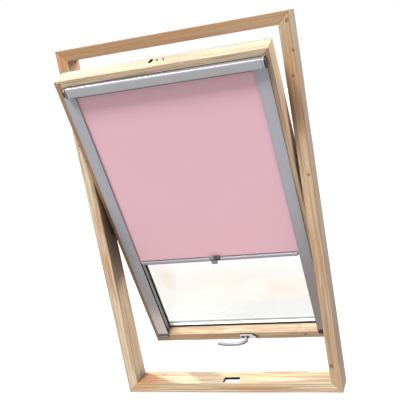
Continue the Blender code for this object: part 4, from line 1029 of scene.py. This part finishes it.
def build_grip():
    """Grip of a ribbed block and saddle, with a tongue below. A squared sine ribs its hollow face."""
    front, back = GRIP_DEPTHS
    low, high = GRIP_RISE
    edge = front + GRIP_ROUND
    ribs = np.linspace(high - GRIP_ROUND, low + GRIP_ROUND, 61)
    hollow = 0.0011 * np.linspace(-1, 1, 61) ** 2
    ribbed = RIB_HEIGHT * np.sin((ribs - low) * 2 * math.pi / RIB_PITCH) ** 2
    face = np.stack((front + hollow + ribbed, ribs), -1)
    rear = rounded([(edge, low), (back, low), (back, high), (edge, high)], 0.0006)[3:-3]
    outline = np.concatenate((face, rear)) + (0.0, BAR_TOP)
    for name, ends, look in (("grip_block", (GRIP_SPLIT, GRIP_X[1]), BLACK_PLASTIC),
                             ("grip_saddle", (GRIP_X[0], GRIP_SPLIT - HAIR), SADDLE_PLASTIC)):
        piece(name, [drawn_out(outline, X, *ends, CAP_ROUND, 6)], look, "blind_bar", ("bar_grip",))
    left, right = TONGUE_X
    tongue = rounded(box_outline((left, -TONGUE_DROP), (right, low + 0.0005)),
                     [0.006, 0.006, 0.001, 0.001], 8) + (0.0, BAR_TOP)
    tongue = drawn_out(tongue, DEPTH, TONGUE_DEPTH, back, 0.0009, 5)
    piece("grip_tongue", [tongue], LIGHT_PLASTIC, "blind_bar", ("bar_grip",))


def build_handle():
    """Rose, and a lever whose oval section is carried along two cubic curves that meet at its elbow."""
    softened("handle_rose", ROSE_METAL, "sash", ROSE_EDGE)
    steps = 24
    t = np.linspace(0, 1, steps + 1)[:, None]
    line = np.concatenate((bezier(NECK_CURVE, t)[:-1], bezier(LEVER_CURVE, t)))
    slope = np.gradient(line, axis=0)
    slope /= np.linalg.norm(slope, axis=1)[:, None]
    ends = np.array([0.25, 0.5, 0.72, 0.88, 0.97])
    line = np.concatenate((line, line[-1] + slope[-1] * LEVER_TIP * ends[:, None]))
    slope = np.concatenate((slope, np.repeat(slope[-1:], len(ends), axis=0)))
    along = np.concatenate((np.zeros(steps), t[:, 0], np.ones(len(ends))))
    close = np.concatenate((np.ones(2 * steps + 1), np.sqrt(1 - ends ** 2)))
    swell = np.interp(np.arange(len(line)), (0, 7, 16, 24, 49), (1.0, 1.05, 1.38, 1.32, 1.14))
    thick = NECK_RADIUS * swell * (1 - 0.1 * along) * close
    wide = NECK_RADIUS * swell * (1 - 0.04 * along) * close
    angle = np.linspace(0, 2 * math.pi, 40, endpoint=False)
    side = np.stack((-slope[:, 1], slope[:, 0]), -1)
    off = side[:, None, :] * (thick[:, None] * np.cos(angle))[..., None]
    x = HUB_X + line[:, None, 0] + off[..., 0]
    depth = -(line[:, None, 1] + off[..., 1])
    rise = HUB_RISE + wide[:, None] * np.sin(angle)
    lever = rings_closed(np.stack((x, depth, rise), -1))
    hub = np.array((HUB_X, HUB_RISE))
    square = box_outline(hub - SPINDLE_HALF, hub + SPINDLE_HALF)
    spindle = drawn_out(square, DEPTH, *SPINDLE_DEPTHS, 0.0004)
    piece("handle_lever_swept", [lever, spindle], HANDLE, "handle", ("handle_lever",))


make_stage()
dress_cad_nodes()
build_metalwork()
build_glazing()
build_cassette()
build_guides()
build_trims()
build_bar()
build_grip()
build_cloth()
build_handle()
